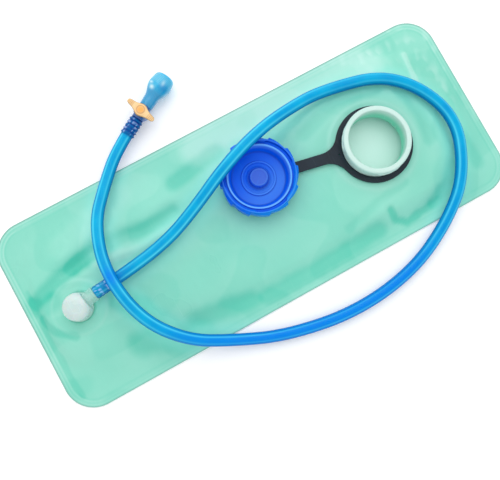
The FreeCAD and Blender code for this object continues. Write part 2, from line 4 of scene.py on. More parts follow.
import bmesh
import bpy
import numpy as np
from mathutils import Matrix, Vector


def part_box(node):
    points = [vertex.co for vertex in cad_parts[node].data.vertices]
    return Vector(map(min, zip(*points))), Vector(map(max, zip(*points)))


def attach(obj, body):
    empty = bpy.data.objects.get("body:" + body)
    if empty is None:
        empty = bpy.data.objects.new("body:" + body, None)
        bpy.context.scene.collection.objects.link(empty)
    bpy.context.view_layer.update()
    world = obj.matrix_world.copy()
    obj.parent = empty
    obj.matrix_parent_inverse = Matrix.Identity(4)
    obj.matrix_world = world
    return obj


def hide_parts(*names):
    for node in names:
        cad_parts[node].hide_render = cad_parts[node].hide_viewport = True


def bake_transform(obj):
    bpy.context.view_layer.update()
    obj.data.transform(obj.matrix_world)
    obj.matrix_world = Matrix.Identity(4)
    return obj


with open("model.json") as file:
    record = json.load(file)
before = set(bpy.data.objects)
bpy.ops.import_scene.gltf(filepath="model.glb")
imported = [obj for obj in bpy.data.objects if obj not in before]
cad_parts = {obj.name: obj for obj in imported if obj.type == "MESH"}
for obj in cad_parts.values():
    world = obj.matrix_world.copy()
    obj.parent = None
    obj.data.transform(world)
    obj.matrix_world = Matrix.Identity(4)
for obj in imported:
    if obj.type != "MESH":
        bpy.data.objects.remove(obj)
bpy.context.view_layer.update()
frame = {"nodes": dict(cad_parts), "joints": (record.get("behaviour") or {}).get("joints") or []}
print("frame loaded")

# Piece dictionaries are in millimetres and degrees; meshes are written in metres.
millimetre = 0.001

joints = {joint["name"]: joint for joint in frame["joints"]}


def middle(node):
    low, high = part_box(node)
    return (np.array(low) + np.array(high)) / 2 / millimetre


def heading(start, end):
    # direction in plan from one point to another, in radians from +X
    return math.atan2(end[1] - start[1], end[0] - start[0])


neckSpot = np.array(joints["tether_swivel"]["pos_m"]) / millimetre
capSpot = np.array(joints["cap_spin"]["pos_m"]) / millimetre
valveSpot = np.array(joints["shutoff_turn"]["pos_m"]) / millimetre
outletSpot = middle("port_seal")
connectorSpot = middle("connector_seal")
strapHeading = heading(neckSpot, capSpot)
outletHeading = heading(outletSpot, connectorSpot)


# shapes used by every piece
def smooth(low, high, value):
    # 0 below low, 1 above high, eased in between: 3t^2 - 2t^3
    share = np.clip((value - low) / (high - low), 0, 1)
    return share * share * (3 - 2 * share)


def bell(value, width):
    # 1 at 0, falling off both ways: e to the minus (value / width) squared
    return np.exp(-((value / width) ** 2))


def swell(x, y, seed, count, shortest, longest):
    # soft unevenness: a sum of sine waves in seeded directions, each bent a little by the one before
    draw = np.random.default_rng(seed)
    total = np.zeros_like(x)
    for _ in range(count):
        way, wave, phase = draw.uniform(0, np.pi), draw.uniform(shortest, longest), draw.uniform(0, 6.28)
        across = x * np.cos(way) + y * np.sin(way)
        total += np.sin(2 * np.pi * (across + 6 * total) / wave + phase) / count
    return total


def softLine(corners, steps=6, reach=1.2):
    # a profile through corners (a, b, rounding): each corner is swapped for a quadratic Bezier that starts
    # and ends its rounding away, and long runs get a point every reach
    line = [np.array(corners[0][:2], float)]
    for before, corner, after in zip(corners, corners[1:], corners[2:]):
        here, cut = np.array(corner[:2], float), corner[2]
        back, ahead = np.array(before[:2], float) - here, np.array(after[:2], float) - here
        start = here + back * min(0.49, cut / np.linalg.norm(back))
        end = here + ahead * min(0.49, cut / np.linalg.norm(ahead))
        share = np.linspace(0, 1, steps)[:, None]
        bend = (1 - share) ** 2 * start + 2 * share * (1 - share) * here + share**2 * end
        line += list(bend) if cut else [here]
    line.append(np.array(corners[-1][:2], float))
    full = [line[0][None]]
    for start, end in zip(line, line[1:]):
        count = max(1, math.ceil(np.linalg.norm(end - start) / reach))
        full.append(start + (end - start) * (np.arange(1, count + 1) / count)[:, None])
    return np.vstack(full)


def turned(profile, segments):
    # a profile (radius, height) turned about Z: rows follow the profile, columns go round
    angle = np.linspace(0, 2 * np.pi, segments, endpoint=False)[None]
    radius, height = profile[:, :1], profile[:, 1:]
    return radius + 0 * angle, angle + 0 * radius, height + 0 * angle


def upright(radius, angle, height):
    # radius and angle about Z to x, y, z
    return np.stack([radius * np.cos(angle), radius * np.sin(angle), height], axis=-1)


def lying(radius, angle, along):
    # the same, turned about X, with angle 0 at the top
    return np.stack([along, radius * np.sin(angle), radius * np.cos(angle)], axis=-1)


def placed(points, spot, turn=0.0, height=0.0):
    # turned about Z and moved to a spot of the frame
    c, s = math.cos(turn), math.sin(turn)
    moved = points @ np.array([[c, s, 0], [-s, c, 0], [0, 0, 1]])
    return moved + np.array([spot[0], spot[1], height])


def quads(rows, columns, ringed=False, looped=False):
    # faces between neighbours of a grid numbered row by row; ringed joins the last column to the first,
    # looped the last row to the first
    number = np.arange(rows * columns).reshape(rows, columns)
    number = np.hstack([number, number[:, :1]]) if ringed else number
    number = np.vstack([number, number[:1]]) if looped else number
    corners = [number[:-1, :-1], number[:-1, 1:], number[1:, 1:], number[1:, :-1]]
    return np.stack(corners, axis=-1).reshape(-1, 4)


def newMesh(name, parts, masks=None, closed=True):
    # parts are (points, faces), masks point attributes; coinciding points merge, closed shells face
    # outwards
    points, faces, first = [], [], 0
    for grid, cells in parts:
        points.append(grid.reshape(-1, 3))
        faces.append(cells + first)
        first += len(points[-1])
    mesh = bpy.data.meshes.new(name)
    mesh.from_pydata((np.vstack(points) * millimetre).tolist(), [], np.vstack(faces).tolist())
    for mask, values in (masks or {}).items():
        layer = mesh.attributes.new(mask, "FLOAT", "POINT")
        layer.data.foreach_set("value", np.concatenate([np.ravel(v) for v in values]).astype(np.float32))
    work = bmesh.new()
    work.from_mesh(mesh)
    bmesh.ops.remove_doubles(work, verts=work.verts, dist=1e-6)
    if closed:
        bmesh.ops.recalc_face_normals(work, faces=work.faces)
    work.to_mesh(mesh)
    work.free()
    return mesh


def addPiece(name, mesh, material, body, replaced=(), sharp=40):
    mesh.shade_smooth()
    mesh.set_sharp_from_angle(angle=math.radians(sharp))
    mesh.materials.append(material)
    piece = bpy.data.objects.new(name, mesh)
    bpy.context.scene.collection.objects.link(piece)
    if body:
        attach(piece, body)
    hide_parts(*replaced)
    print(f"{name}: {len(mesh.polygons)} faces")
    return piece


# shared finishes
def newGroup(name, inputs, outputs):
    group = bpy.data.node_groups.new(name, "ShaderNodeTree")
    for label, value in inputs.items():
        group.interface.new_socket(label, in_out="INPUT", socket_type="NodeSocketFloat").default_value = value
    for label in outputs:
        group.interface.new_socket(label, in_out="OUTPUT", socket_type="NodeSocketFloat")
    return group, group.nodes.new("NodeGroupInput"), group.nodes.new("NodeGroupOutput")


def link(tree, start, end):
    tree.links.new(start, end)


def addNode(tree, kind, settings=None, **sockets):
    # settings are the node's own; a socket gets a value, or a link where it is given another node's output
    node = tree.nodes.new(kind)
    for key, value in (settings or {}).items():
        setattr(node, key, value)
    for key, value in sockets.items():
        socket = node.inputs[int(key[1:]) if key[0] == "_" else key.replace("_", " ")]
        if isinstance(value, bpy.types.NodeSocket):
            tree.links.new(value, socket)
        else:
            socket.default_value = value
    return node


def rangeOf(tree, value, low, high, toLow=0.0, toHigh=1.0):
    return addNode(tree, "ShaderNodeMapRange", _0=value, _1=low, _2=high, _3=toLow, _4=toHigh).outputs[0]


def sumUp(tree, operation, first, second):
    return addNode(tree, "ShaderNodeMath", {"operation": operation}, _0=first, _1=second).outputs[0]


def makeGrain():
    # moulded surface: broad clouds for colour and gloss, fine grain for the bump
    scales = {"Cloud Scale": 30, "Grain Scale": 900}
    group, entry, result = newGroup("mouldedGrain", scales, ["Cloud", "Grain"])
    place = addNode(group, "ShaderNodeTexCoord").outputs["Object"]
    cloud = addNode(group, "ShaderNodeTexNoise", Vector=place, Scale=entry.outputs[0], Detail=3.0)
    grain = addNode(group, "ShaderNodeTexNoise", Vector=place, Scale=entry.outputs[1], Detail=4.0)
    link(group, rangeOf(group, cloud.outputs["Fac"], 0.32, 0.68), result.inputs["Cloud"])
    link(group, rangeOf(group, grain.outputs["Fac"], 0.3, 0.7), result.inputs["Grain"])
    return group


def makeWear():
    # handling marks: rubbed high edges, broken up by noise, and fine hairline scratches
    group, entry, result = newGroup("handlingMarks", {"Edge": 0.6, "Scratch": 0.4}, ["Wear"])
    place = addNode(group, "ShaderNodeTexCoord").outputs["Object"]
    point = addNode(group, "ShaderNodeNewGeometry").outputs["Pointiness"]
    breakUp = addNode(group, "ShaderNodeTexNoise", Vector=place, Scale=160.0, Detail=5.0).outputs["Fac"]
    edge = sumUp(group, "MULTIPLY", rangeOf(group, point, 0.53, 0.62), rangeOf(group, breakUp, 0.42, 0.62))
    turn = addNode(group, "ShaderNodeMapping", Vector=place, Rotation=(0.2, 0.1, 0.6), Scale=(2200, 45, 300))
    hair = addNode(group, "ShaderNodeTexNoise", Vector=turn.outputs[0], Scale=1.0, Detail=1.0).outputs["Fac"]
    scratch = rangeOf(group, hair, 0.66, 0.72)
    edge = sumUp(group, "MULTIPLY", edge, entry.outputs["Edge"])
    scratch = sumUp(group, "MULTIPLY", scratch, entry.outputs["Scratch"])
    link(group, sumUp(group, "MAXIMUM", edge, scratch), result.inputs["Wear"])
    return group


grainGroup = makeGrain()
wearGroup = makeWear()


def shade(colour):
    # 0-255 display values to linear
    level = np.array(colour, float) / 255
    return tuple(np.where(level < 0.04045, level / 12.92, ((level + 0.055) / 1.055) ** 2.4)) + (1.0,)


def mixed(tree, share, first, second, blend="MIX"):
    node = addNode(tree, "ShaderNodeMix", {"data_type": "RGBA", "blend_type": blend}, _0=share)
    for socket, colour in ((node.inputs[6], first), (node.inputs[7], second)):
        if isinstance(colour, bpy.types.NodeSocket):
            link(tree, colour, socket)
        else:
            socket.default_value = colour
    return node.outputs[2]


def makePlastic(name, look):
    # one moulded finish: two close tones clouded together, tones, painted shade and painted highlights laid
    # on by point masks, worn edges, grain
    material = bpy.data.materials.new(name)
    material.use_nodes = True
    tree = material.node_tree
    shader = tree.nodes["Principled BSDF"]
    grain = addNode(tree, "ShaderNodeGroup", {"node_tree": grainGroup})
    grain.inputs["Cloud Scale"].default_value = look.get("cloudScale", 30)
    grain.inputs["Grain Scale"].default_value = look.get("grainScale", 900)
    wear = addNode(tree, "ShaderNodeGroup", {"node_tree": wearGroup})
    wear.inputs["Edge"].default_value = look.get("edgeWear", 0.5)
    wear.inputs["Scratch"].default_value = look.get("scratches", 0.3)
    colour = mixed(tree, grain.outputs["Cloud"], shade(look["tone"]), shade(look["clouded"]))
    for mask, tint in look.get("masks", {}).items():
        share = addNode(tree, "ShaderNodeAttribute", {"attribute_name": mask}).outputs["Fac"]
        colour = mixed(tree, share, colour, shade(tint))
    colour = mixed(tree, wear.outputs["Wear"], colour, shade(look.get("worn", look["tone"])))
    link(tree, colour, shader.inputs["Base Color"])
    gloss = rangeOf(tree, grain.outputs["Cloud"], 0, 1, *look["gloss"])
    rough = addNode(tree, "ShaderNodeMath", {"operation": "MULTIPLY_ADD", "use_clamp": True},
                    _0=wear.outputs["Wear"], _1=0.25, _2=gloss)
    link(tree, rough.outputs[0], shader.inputs["Roughness"])
    bump = addNode(tree, "ShaderNodeBump", Strength=look.get("bump", 0.2),
                   Distance=look.get("relief", 0.05) * millimetre, Height=grain.outputs["Grain"])
    link(tree, bump.outputs[0], shader.inputs["Normal"])
    for socket, value in look.get("shader", {}).items():
        shader.inputs[socket].default_value = value
    return material


# camera
cameraSettings = {
    "lens": 49.45,
    "place": (-66.7, -54.0, 539.4),
    "forward": (0.0919, 0.0627, -0.9938),
    "right": (0.8743, -0.4828, 0.0504),
}


def makeCamera():
    # its axes are squared up from forward and right
    forward = np.array(cameraSettings["forward"])
    forward /= np.linalg.norm(forward)
    right = np.array(cameraSettings["right"])
    right -= (right @ forward) * forward
    right /= np.linalg.norm(right)
    up = np.cross(right, forward)
    camera = bpy.data.objects.new("camera", bpy.data.cameras.new("camera"))
    camera.data.lens = cameraSettings["lens"]
    camera.data.sensor_width = 36
    camera.data.clip_start = 0.01
    matrix = np.eye(4)
    matrix[:3, :3] = np.column_stack([right, up, -forward])
    matrix[:3, 3] = np.array(cameraSettings["place"]) * millimetre
    camera.matrix_world = Matrix(matrix.tolist())
    bpy.context.scene.collection.objects.link(camera)
    bpy.context.scene.camera = camera
    print("camera set")


makeCamera()

# drinking tube
tubeSettings = {
    "outer": 4.8,
    "inner": 3.2,
    "ringStep": 1.1,
    "segments": 60,
    "barbPitch": 3.0,
    "outletBarbs": 14.0,
    "outletSwell": 0.35,
    "valveBarbs": 15.3,
    "valveSwell": 1.05,
    "endRound": 0.35,
    "brightAt": 33,
    "brightWide": 10,
    "nearBright": 0.8,
    "farBright": 0.75,
    "ripple": 0.2,
    "rippleRun": 47.0,
    "paintedEdgeShade": 0.9,
    "royal": 0.85,
    "crossing": (-123.5, 3.0),
    "crossingWide": 7.0,
    "length": 0.89,
}

# in metres: from the outlet over the cap, round the neck, past the bag's edge, over its own start, to the
# valve
tubeRoute = [
    (-0.14013, -0.00045, 0.018), (-0.1125, 0.0021, 0.0168), (-0.073, 0.0089, 0.0152),
    (-0.0414, 0.0212, 0.022), (-0.012, 0.0345, 0.0338), (0.0216, 0.0465, 0.0338),
    (0.0535, 0.0536, 0.022), (0.0885, 0.0560, 0.0149), (0.1458, 0.0422, 0.0147),
    (0.1750, -0.0086, 0.0147), (0.1562, -0.0560, 0.0142), (0.1270, -0.0830, 0.0062),
    (0.0834, -0.1034, 0.0051), (0.0279, -0.1094, 0.0051), (-0.0279, -0.0990, 0.0051),
    (-0.0654, -0.0825, 0.008), (-0.0961, -0.0650, 0.017), (-0.1183, -0.0345, 0.0292),
    (-0.1252, 0.008, 0.0292), (-0.116, 0.046, 0.017), (-0.0967, 0.0698, 0.0108),
    (-0.0739, 0.0919, 0.0094), (-0.04925, 0.10524, 0.0094),
]


def routeLine(points):
    # the smooth line that the route's points pull along, spaced evenly
    curve = bpy.data.curves.new("tubeRoute", "CURVE")
    curve.dimensions = "3D"
    curve.resolution_u = 24
    spline = curve.splines.new("NURBS")
    spline.points.add(len(points) - 1)
    spline.points.foreach_set("co", np.column_stack([points, np.ones(len(points))]).ravel())
    spline.order_u = 3
    spline.use_endpoint_u = True
    bare = bpy.data.objects.new("tubeRoute", curve)
    mesh = bpy.data.meshes.new_from_object(bare)
    line = np.empty(len(mesh.vertices) * 3, np.float32)
    mesh.vertices.foreach_get("co", line)
    line = line.reshape(-1, 3).astype(float) / millimetre
    bpy.data.meshes.remove(mesh)
    bpy.data.objects.remove(bare)
    bpy.data.curves.remove(curve)
    along = np.concatenate([[0], np.cumsum(np.linalg.norm(np.diff(line, axis=0), axis=1))])
    even = np.linspace(0, along[-1], math.ceil(along[-1] / tubeSettings["ringStep"]) + 1)
    return np.stack([np.interp(even, along, line[:, axis]) for axis in range(3)], axis=1), even


def ribs(distance, pitch, start, end):
    # rounded saw teeth: a slow swell and a quick fall in each pitch, faded in and out at the ends
    phase = (distance - start) / pitch % 1
    tooth = np.sin(np.pi * phase**0.7) ** 2
    return tooth * smooth(start - 0.3, start + 0.6, distance) * (1 - smooth(end - 1.2, end, distance))


def tubeMasks(line, along, angle, outlet, valve):
    # painted highlight along each shoulder, where the bore's edge gathers light, with painted shade outside
    # it down the sides; royal blue on the loop's low side and painted shade where the tube crosses itself;
    # deep blue on the barbed ends, with painted shade between the barbs and painted glints on them
    s = tubeSettings
    left = along[-1] - along
    degrees = np.degrees(angle)
    turn = np.minimum(degrees, 360 - degrees)
    even = 0 * turn[None]
    ripple = s["ripple"] * np.sin(along / s["rippleRun"])[:, None]
    clear = smooth(-3, 3, left - s["valveBarbs"])[:, None]
    # painted highlight lines along both shoulders
    near = bell(degrees - s["brightAt"], s["brightWide"]) * (s["nearBright"] + ripple)
    far = bell(360 - degrees - s["brightAt"], s["brightWide"]) * (s["farBright"] - ripple)
    farEnd = smooth(30, 100, line[:, 0]) * smooth(-40, 20, line[:, 1])
    highlight = np.clip(near + far, 0, 1) * clear * (1 - 0.55 * farEnd)[:, None]
    royal = s["royal"] * (1 - smooth(-95, -15, line[:, 1])) * smooth(-150, -90, line[:, 0])
    royal = royal * (1 - 0.8 * smooth(70, 135, line[:, 0]))
    # painted shade where the tube crosses over itself
    royal = royal + 0.8 * bell(np.hypot(*(line[:, :2] - s["crossing"]).T), s["crossingWide"])
    royal = royal[:, None] * (1 - 0.5 * highlight)
    # painted shade down the tube's sides and just outside the highlight lines
    edge = (s["paintedEdgeShade"] * smooth(48, 74, turn) + 0.4 * bell(turn - s["brightAt"] - 14, 6))[None] * clear
    # painted glints on the barbs
    flicker = swell(along[:, None] + 0 * angle[None], 8 * angle[None] + 0 * along[:, None], 41, 9, 2.2, 7)
    flicker = smooth(-0.02, 0.22, flicker) * smooth(75, 55, turn)[None]
    paintedGlint = (0.75 * outlet[:, None] + 0.9 * valve[:, None] ** 2) * flicker
    valveDeep = smooth(s["valveBarbs"] + 2, s["valveBarbs"] - 1, left)[:, None]
    outletDeep = 0.28 * (1 - smooth(s["outletBarbs"] - 2, s["outletBarbs"] + 3, along))[:, None]
    # deep blue on the barbed ends, lighter on the barb crests: painted shade between the barbs
    deep = valveDeep * (1 - 0.35 * valve)[:, None] + even + (outletDeep + even) * (1 - paintedGlint)
    return {"paintedHighlightLine": highlight, "royalAndCrossingShade": royal, "paintedEdgeShade": edge, "deepTintAndShade": np.clip(deep, 0, 1),
            "paintedGlint": paintedGlint}


def makeTube():
    # rings set square to the route: radius = outer + barb swell - rounded ends, and back again along the bore
    s = tubeSettings
    line, along = routeLine(tubeRoute)
    ahead = np.gradient(line, axis=0)
    ahead /= np.linalg.norm(ahead, axis=1)[:, None]
    up = np.array([0, 0, 1.0]) - ahead[:, 2:] * ahead
    up /= np.linalg.norm(up, axis=1)[:, None]
    side = np.cross(ahead, up)
    total = along[-1]
    outlet = ribs(along, s["barbPitch"], 0.6, s["outletBarbs"])
    valve = ribs(along, s["barbPitch"], total - s["valveBarbs"], total - 0.2)
    bulge = s["outletSwell"] * outlet + s["valveSwell"] * valve
    ends = s["endRound"] * (bell(along, 0.5) + bell(total - along, 0.5))
    angle = np.linspace(0, 2 * np.pi, s["segments"], endpoint=False)
    ring = np.cos(angle)[None, :, None] * up[:, None] + np.sin(angle)[None, :, None] * side[:, None]
    outer = line[:, None] + (s["outer"] + bulge - ends)[:, None, None] * ring
    inner = line[:, None] + (s["inner"] + ends)[:, None, None] * ring
    shell = np.concatenate([outer, inner[::-1]])
    rows = len(shell)
    tones = tubeMasks(line, along, angle, outlet, valve)
    masks = {name: [np.concatenate([tone, tone[::-1]])] for name, tone in tones.items()}
    mesh = newMesh("drinkingTube", [(shell, quads(rows, s["segments"], ringed=True, looped=True))], masks)
    material = makePlastic("blueTube", {
        "tone": (0, 150, 210), "clouded": (0, 170, 218), "cloudScale": 55, "grainScale": 500,
        # painted highlight lines, royal blue with painted shade at the crossing, painted side shade, deep
        # blue, painted glints
        "masks": {"paintedHighlightLine": (78, 214, 240), "royalAndCrossingShade": (0, 124, 232), "paintedEdgeShade": (0, 112, 180),
                  "deepTintAndShade": (0, 50, 136), "paintedGlint": (184, 206, 255)},
        "gloss": (0.1, 0.2), "bump": 0.08, "relief": 0.05, "edgeWear": 0.0, "scratches": 0.05,
        "worn": (60, 190, 235),
        "shader": {"IOR": 1.5, "Specular IOR Level": 0.1},
    })
    tube = addPiece("drinkingTube", mesh, material, "bladder", ["drinking_tube"], 60)
    print(f"tube line {total:.0f} mm")
    return tube, line * millimetre


tube, tubeLine = makeTube()

# bag films
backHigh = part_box("back_film")[1]
bagSettings = {
    "halfLength": backHigh.x / millimetre,
    "halfWidth": backHigh.y / millimetre,
    "corner": 24.0,
    "grid": (300, 124),
    "backGrid": (170, 72),
    "film": 0.42,
    "lowest": 0.55,
    "weld": 5.0,
    "endRun": 12.0,
    "sideRun": 22.0,
    "crown": 9.42,
    "slackCrown": 7.2,
    "slackRun": 44.0,
    "neckHeld": 84.0,
    "outletHeld": 50.0,
    "waves": 0.55,
    "ripples": 0.16,
    "puckers": 0.3,
    "groove": 0.07,
    "seamLines": (1.8, 4.4),
    "seamShade": 5.8,
    "neckHole": 26.15,
    "outletHole": 11.3,
    "neckFlange": 36.0,
    "outletFlange": 21.0,
}

# creases of the upper film: points along each, half width, depth (below 0 it stands up), and how much painted
# shade and deeper tint it lays along the crease (below 0, a painted highlight along a raised ridge)
creases = [
    {"line": [(-183, 17), (-161, 23), (-142, 27), (-126, 30)], "wide": 7, "deep": 2.0, "tone": 0.62},
    {"line": [(-148, 26), (-138, 28), (-128, 30)], "wide": 6, "deep": 0.5, "tone": 0.66},
    {"line": [(-118, 31), (-104, 30), (-88, 27), (-60, 28)], "wide": 6, "deep": 1.4, "tone": 0.55},
    {"line": [(-189, 14), (-180, 8), (-172, 10)], "wide": 8, "deep": 1.0, "tone": 0.42},
    {"line": [(-186, 2), (-182, -11), (-169, -22)], "wide": 3.2, "deep": 0.9, "tone": 0.42},
    {"line": [(-187, 26), (-188, -20), (-187, -64)], "wide": 2, "deep": 0.5, "tone": 0.32},
    {"line": [(-128, -12), (-117, -26), (-112, -44)], "wide": 9, "deep": 1.6, "tone": 0.66},
    {"line": [(-128, -50), (-113, -54), (-100, -62), (-84, -66)], "wide": 11, "deep": 1.2, "tone": 0.56},
    {"line": [(-84, -55), (-62, -57), (-39, -62)], "wide": 8, "deep": 1.3, "tone": 0.52},
    {"line": [(-26, -65), (14, -66), (46, -64.5), (77, -62.5)], "wide": 7, "deep": 1.2, "tone": 0.5},
    {"line": [(92, -53), (93, -62), (101, -68), (115, -66), (132, -65)],
     "wide": 3.4, "deep": 1.5, "tone": 0.7},
    {"line": [(128, -64), (142, -58), (156, -46)], "wide": 5.5, "deep": 1.0, "tone": 0.5},
    {"line": [(56, -50), (86, -43), (112, -39)], "wide": 4, "deep": 0.7, "tone": 0.2},
    {"line": [(167, 53), (165, 41), (163, 28)], "wide": 2.6, "deep": -0.8, "tone": -0.6},
    {"line": [(171, -10), (174, -30), (176, -53)], "wide": 6, "deep": 1.0, "tone": 0.36},
    {"line": [(148, 30), (152, 6), (149, -18)], "wide": 6, "deep": 0.9, "tone": 0.32},
    {"line": [(-48, 48), (-32, 51), (-7, 55)], "wide": 7, "deep": 1.4, "tone": 0.5},
    {"line": [(60, 33), (95, 44), (130, 38)], "wide": 6, "deep": 0.8, "tone": 0.3},
    {"line": [(-130, 20), (-95, 15), (-59, 17)], "wide": 4, "deep": -0.7, "tone": -0.3},
    {"line": [(-150, 45), (-120, 52), (-90, 60)], "wide": 10, "deep": -0.6, "tone": -0.2},
    {"line": [(-20, 64), (40, 66), (110, 64), (138, 62)], "wide": 13, "deep": -0.3, "tone": -0.6},
]


def bagGrid(columns, rows):
    # x and y over a rectangle with round corners: rows close up along the corner arcs, each row spans the
    # outline, and u runs -1 to 1 along it with x = reach (u + sin(pi u / 2)) / 2, closer at the ends
    s = bagSettings
    length, width, corner = s["halfLength"], s["halfWidth"], s["corner"]
    arc = np.sin(np.linspace(0, np.pi / 2, rows // 6))[1:] * corner + width - corner
    centre = np.linspace(-(width - corner), width - corner, rows - 2 * len(arc))
    y = np.concatenate([-arc[::-1], centre, arc])[:, None]
    into = np.clip(np.abs(y) - (width - corner), 0, corner)
    reach = length - corner + np.sqrt(np.maximum(corner**2 - into**2, 0))
    u = np.linspace(-1, 1, columns)[None]
    x = reach * (0.5 * u + 0.5 * np.sin(np.pi * u / 2))
    return x, y + 0 * x


def inset(x, y):
    # distance in from the rounded outline
    s = bagSettings
    ax, ay = np.abs(x) - (s["halfLength"] - s["corner"]), np.abs(y) - (s["halfWidth"] - s["corner"])
    outside = np.hypot(np.maximum(ax, 0), np.maximum(ay, 0)) + np.minimum(np.maximum(ax, ay), 0)
    return s["corner"] - outside


def nearLine(x, y, line):
    # distance from every point of the film to a crease's broken line
    best = np.full(x.shape, np.inf)
    for (ax, ay), (bx, by) in zip(line, line[1:]):
        dx, dy = bx - ax, by - ay
        share = np.clip(((x - ax) * dx + (y - ay) * dy) / (dx * dx + dy * dy), 0, 1)
        best = np.minimum(best, np.hypot(x - ax - share * dx, y - ay - share * dy))
    return best


def rise(x, y, endRun, sideRun):
    # how far the film has left the weld: 0 at the weld, 1 past both runs
    s = bagSettings
    alongX = (s["halfLength"] - np.abs(x) - s["weld"]) / endRun
    alongY = (s["halfWidth"] - np.abs(y) - s["weld"]) / sideRun
    corner = np.hypot(np.maximum(1 - alongX, 0), np.maximum(1 - alongY, 0))
    return smooth(0, 1, 1 - corner)


def weldLine(x, y):
    # the pressed groove along the weld's inner edge
    return bell(inset(x, y) - bagSettings["weld"], 0.8)


def plateau(away, wide):
    # 1 across a band, with edges much steeper than a bell's
    return 1 - smooth(0.45 * wide, 1.4 * wide, away)


def raised(away, edge, out):
    # a flange under the film: 1 past its edge, fading back to 0 over the two distances of out
    return smooth(-0.8, 0.8, away - edge) * (1 - smooth(*out, away))


def creased(x, y, ragged):
    # the sum over the creases of how far each lets the film down, and of the painted shade and deeper tint
    # each lays along it (a painted highlight where below 0)
    low, tone = np.zeros_like(x), np.zeros_like(x)
    for crease in creases:
        away, wide = nearLine(x, y, crease["line"]), crease["wide"]
        low = low + crease["deep"] * (bell(away, wide) - 0.25 * bell(away - 1.9 * wide, wide))
        tone = tone + crease["tone"] * plateau(away + 1.5 * ragged, wide)
    return low, tone


def filmHeight(x, y, fromNeck, fromOutlet, creaseLow):
    # z = weld height + rise x (crown - all that lets it down): slack, creases, waves, puckers, flange steps
    s = bagSettings
    base = s["lowest"] + s["film"]
    slackUp = rise(x, y, s["slackRun"], s["slackRun"])
    slack = base + (s["slackCrown"] - base) * slackUp
    held = np.maximum(1 - smooth(s["neckFlange"], s["neckHeld"], fromNeck),
                      1 - smooth(s["outletFlange"], s["outletHeld"], fromOutlet))
    flat = np.maximum(1 - smooth(s["neckFlange"] - 1, s["neckFlange"] + 7, fromNeck),
                      1 - smooth(s["outletFlange"] - 1, s["outletFlange"] + 5, fromOutlet))
    low = (s["crown"] - slack) * (1 - held) + creaseLow
    low = low + s["waves"] * swell(x, y, 7, 9, 26, 90) + s["ripples"] * swell(x, y, 11, 9, 7, 19)
    pucker = bell(inset(x, y) - 9, 6) * swell(x, y, 5, 7, 8, 16)
    low = np.clip(low * (1 - flat), 0, 9) + s["puckers"] * pucker * (1 - flat)
    step = s["film"] * raised(fromNeck, s["neckFlange"], (42, 60))
    step = step + s["film"] * raised(fromOutlet, s["outletFlange"], (26, 40))
    ring = 0.2 * bell(fromOutlet - 15.5, 0.9) + 0.2 * bell(fromNeck - 33, 1.0)
    up = rise(x, y, s["endRun"], s["sideRun"])
    z = base + (s["crown"] - base - low - step - ring) * up - s["groove"] * weldLine(x, y)
    return np.clip(z, base - 0.1, s["crown"])


def filmTones(x, y, fromNeck, fromOutlet, tone):
    # deeper tint and painted shade along the creases, painted highlights on raised ridges and flange edges,
    # pale crumple streaks, two pale lines along the weld painted brighter on the upper side, where light
    # falls, a painted shade along the weld, a thin rim, and painted light beside the tube
    s = bagSettings
    edge = inset(x, y)
    # random deeper tint, and a painted shade along the weld's inner edge
    tone = tone + 0.2 * swell(x, y, 3, 8, 30, 110) + 0.22 * bell(edge - s["seamShade"], 0.7)
    tone = tone + 0.16 * smooth(0.04, 0.12, swell(x, y, 13, 8, 40, 120))
    # the upper side, where light falls: its weld lines are painted brighter and its rim line darker
    upper = 0.35 + 0.65 * smooth(-60, 60, y - 0.25 * x)
    first, second = s["seamLines"]
    # painted highlights on raised ridges, and two pale lines along the weld
    pale = np.clip(-tone, 0, 1) + upper * (0.5 * bell(edge - first, 0.6) + 0.45 * bell(edge - second, 0.6))
    # painted highlights along the edges of the neck and outlet flanges
    pale = pale + 0.22 * bell(fromNeck - s["neckFlange"], 1.8)
    pale = pale + 0.15 * bell(fromOutlet - s["outletFlange"], 1.2)
    crumple = np.maximum(swell(x, y, 17, 9, 5, 22), 0) * (1 - smooth(8, 40, edge))
    pale = pale + 0.8 * crumple * smooth(150, 215, x + y)
    # painted light beside the tube
    glow = 0.6 * bell(nearLine(x, y, tubeLine[::8, :2] / millimetre) - 6.5, 7)
    return {"foldTintAndShade": np.clip(tone, 0, 1), "paleAndPaintedLight": np.clip(pale, 0, 1),
            "rimLine": (0.45 + 0.45 * upper) * bell(edge - 0.2, 0.6), "paintedTubeLight": glow}


def makeFrontFilm(material):
    # the welded outline's grid lifted to filmHeight, with round holes for the neck and the outlet
    s = bagSettings
    x, y = bagGrid(*s["grid"])
    fromNeck = np.hypot(x - neckSpot[0], y - neckSpot[1])
    fromOutlet = np.hypot(x - outletSpot[0], y - outletSpot[1])
    creaseLow, creaseShadeAndHighlight = creased(x, y, swell(x, y, 31, 9, 9, 30))
    z = filmHeight(x, y, fromNeck, fromOutlet, creaseLow)
    tones = filmTones(x, y, fromNeck, fromOutlet, creaseShadeAndHighlight)
    points = np.stack([x, y, z], axis=-1).reshape(-1, 3)
    faces = quads(*x.shape)
    for centre, radius in ((neckSpot, s["neckHole"]), (outletSpot, s["outletHole"])):
        away = np.hypot(points[:, 0] - centre[0], points[:, 1] - centre[1])
        gone = (away < radius)[faces].any(axis=1)
        rim = np.intersect1d(faces[gone], faces[~gone])
        points[rim, :2] = centre[:2] + (points[rim, :2] - centre[:2]) * (radius / away[rim])[:, None]
        faces = faces[~gone]
    used, faces = np.unique(faces, return_inverse=True)
    masks = {name: [tone.ravel()[used]] for name, tone in tones.items()}
    mesh = newMesh("frontFilm", [(points[used], faces.reshape(-1, 4))], masks, closed=False)
    return finishFilm("frontFilm", mesh, material, "front_film")


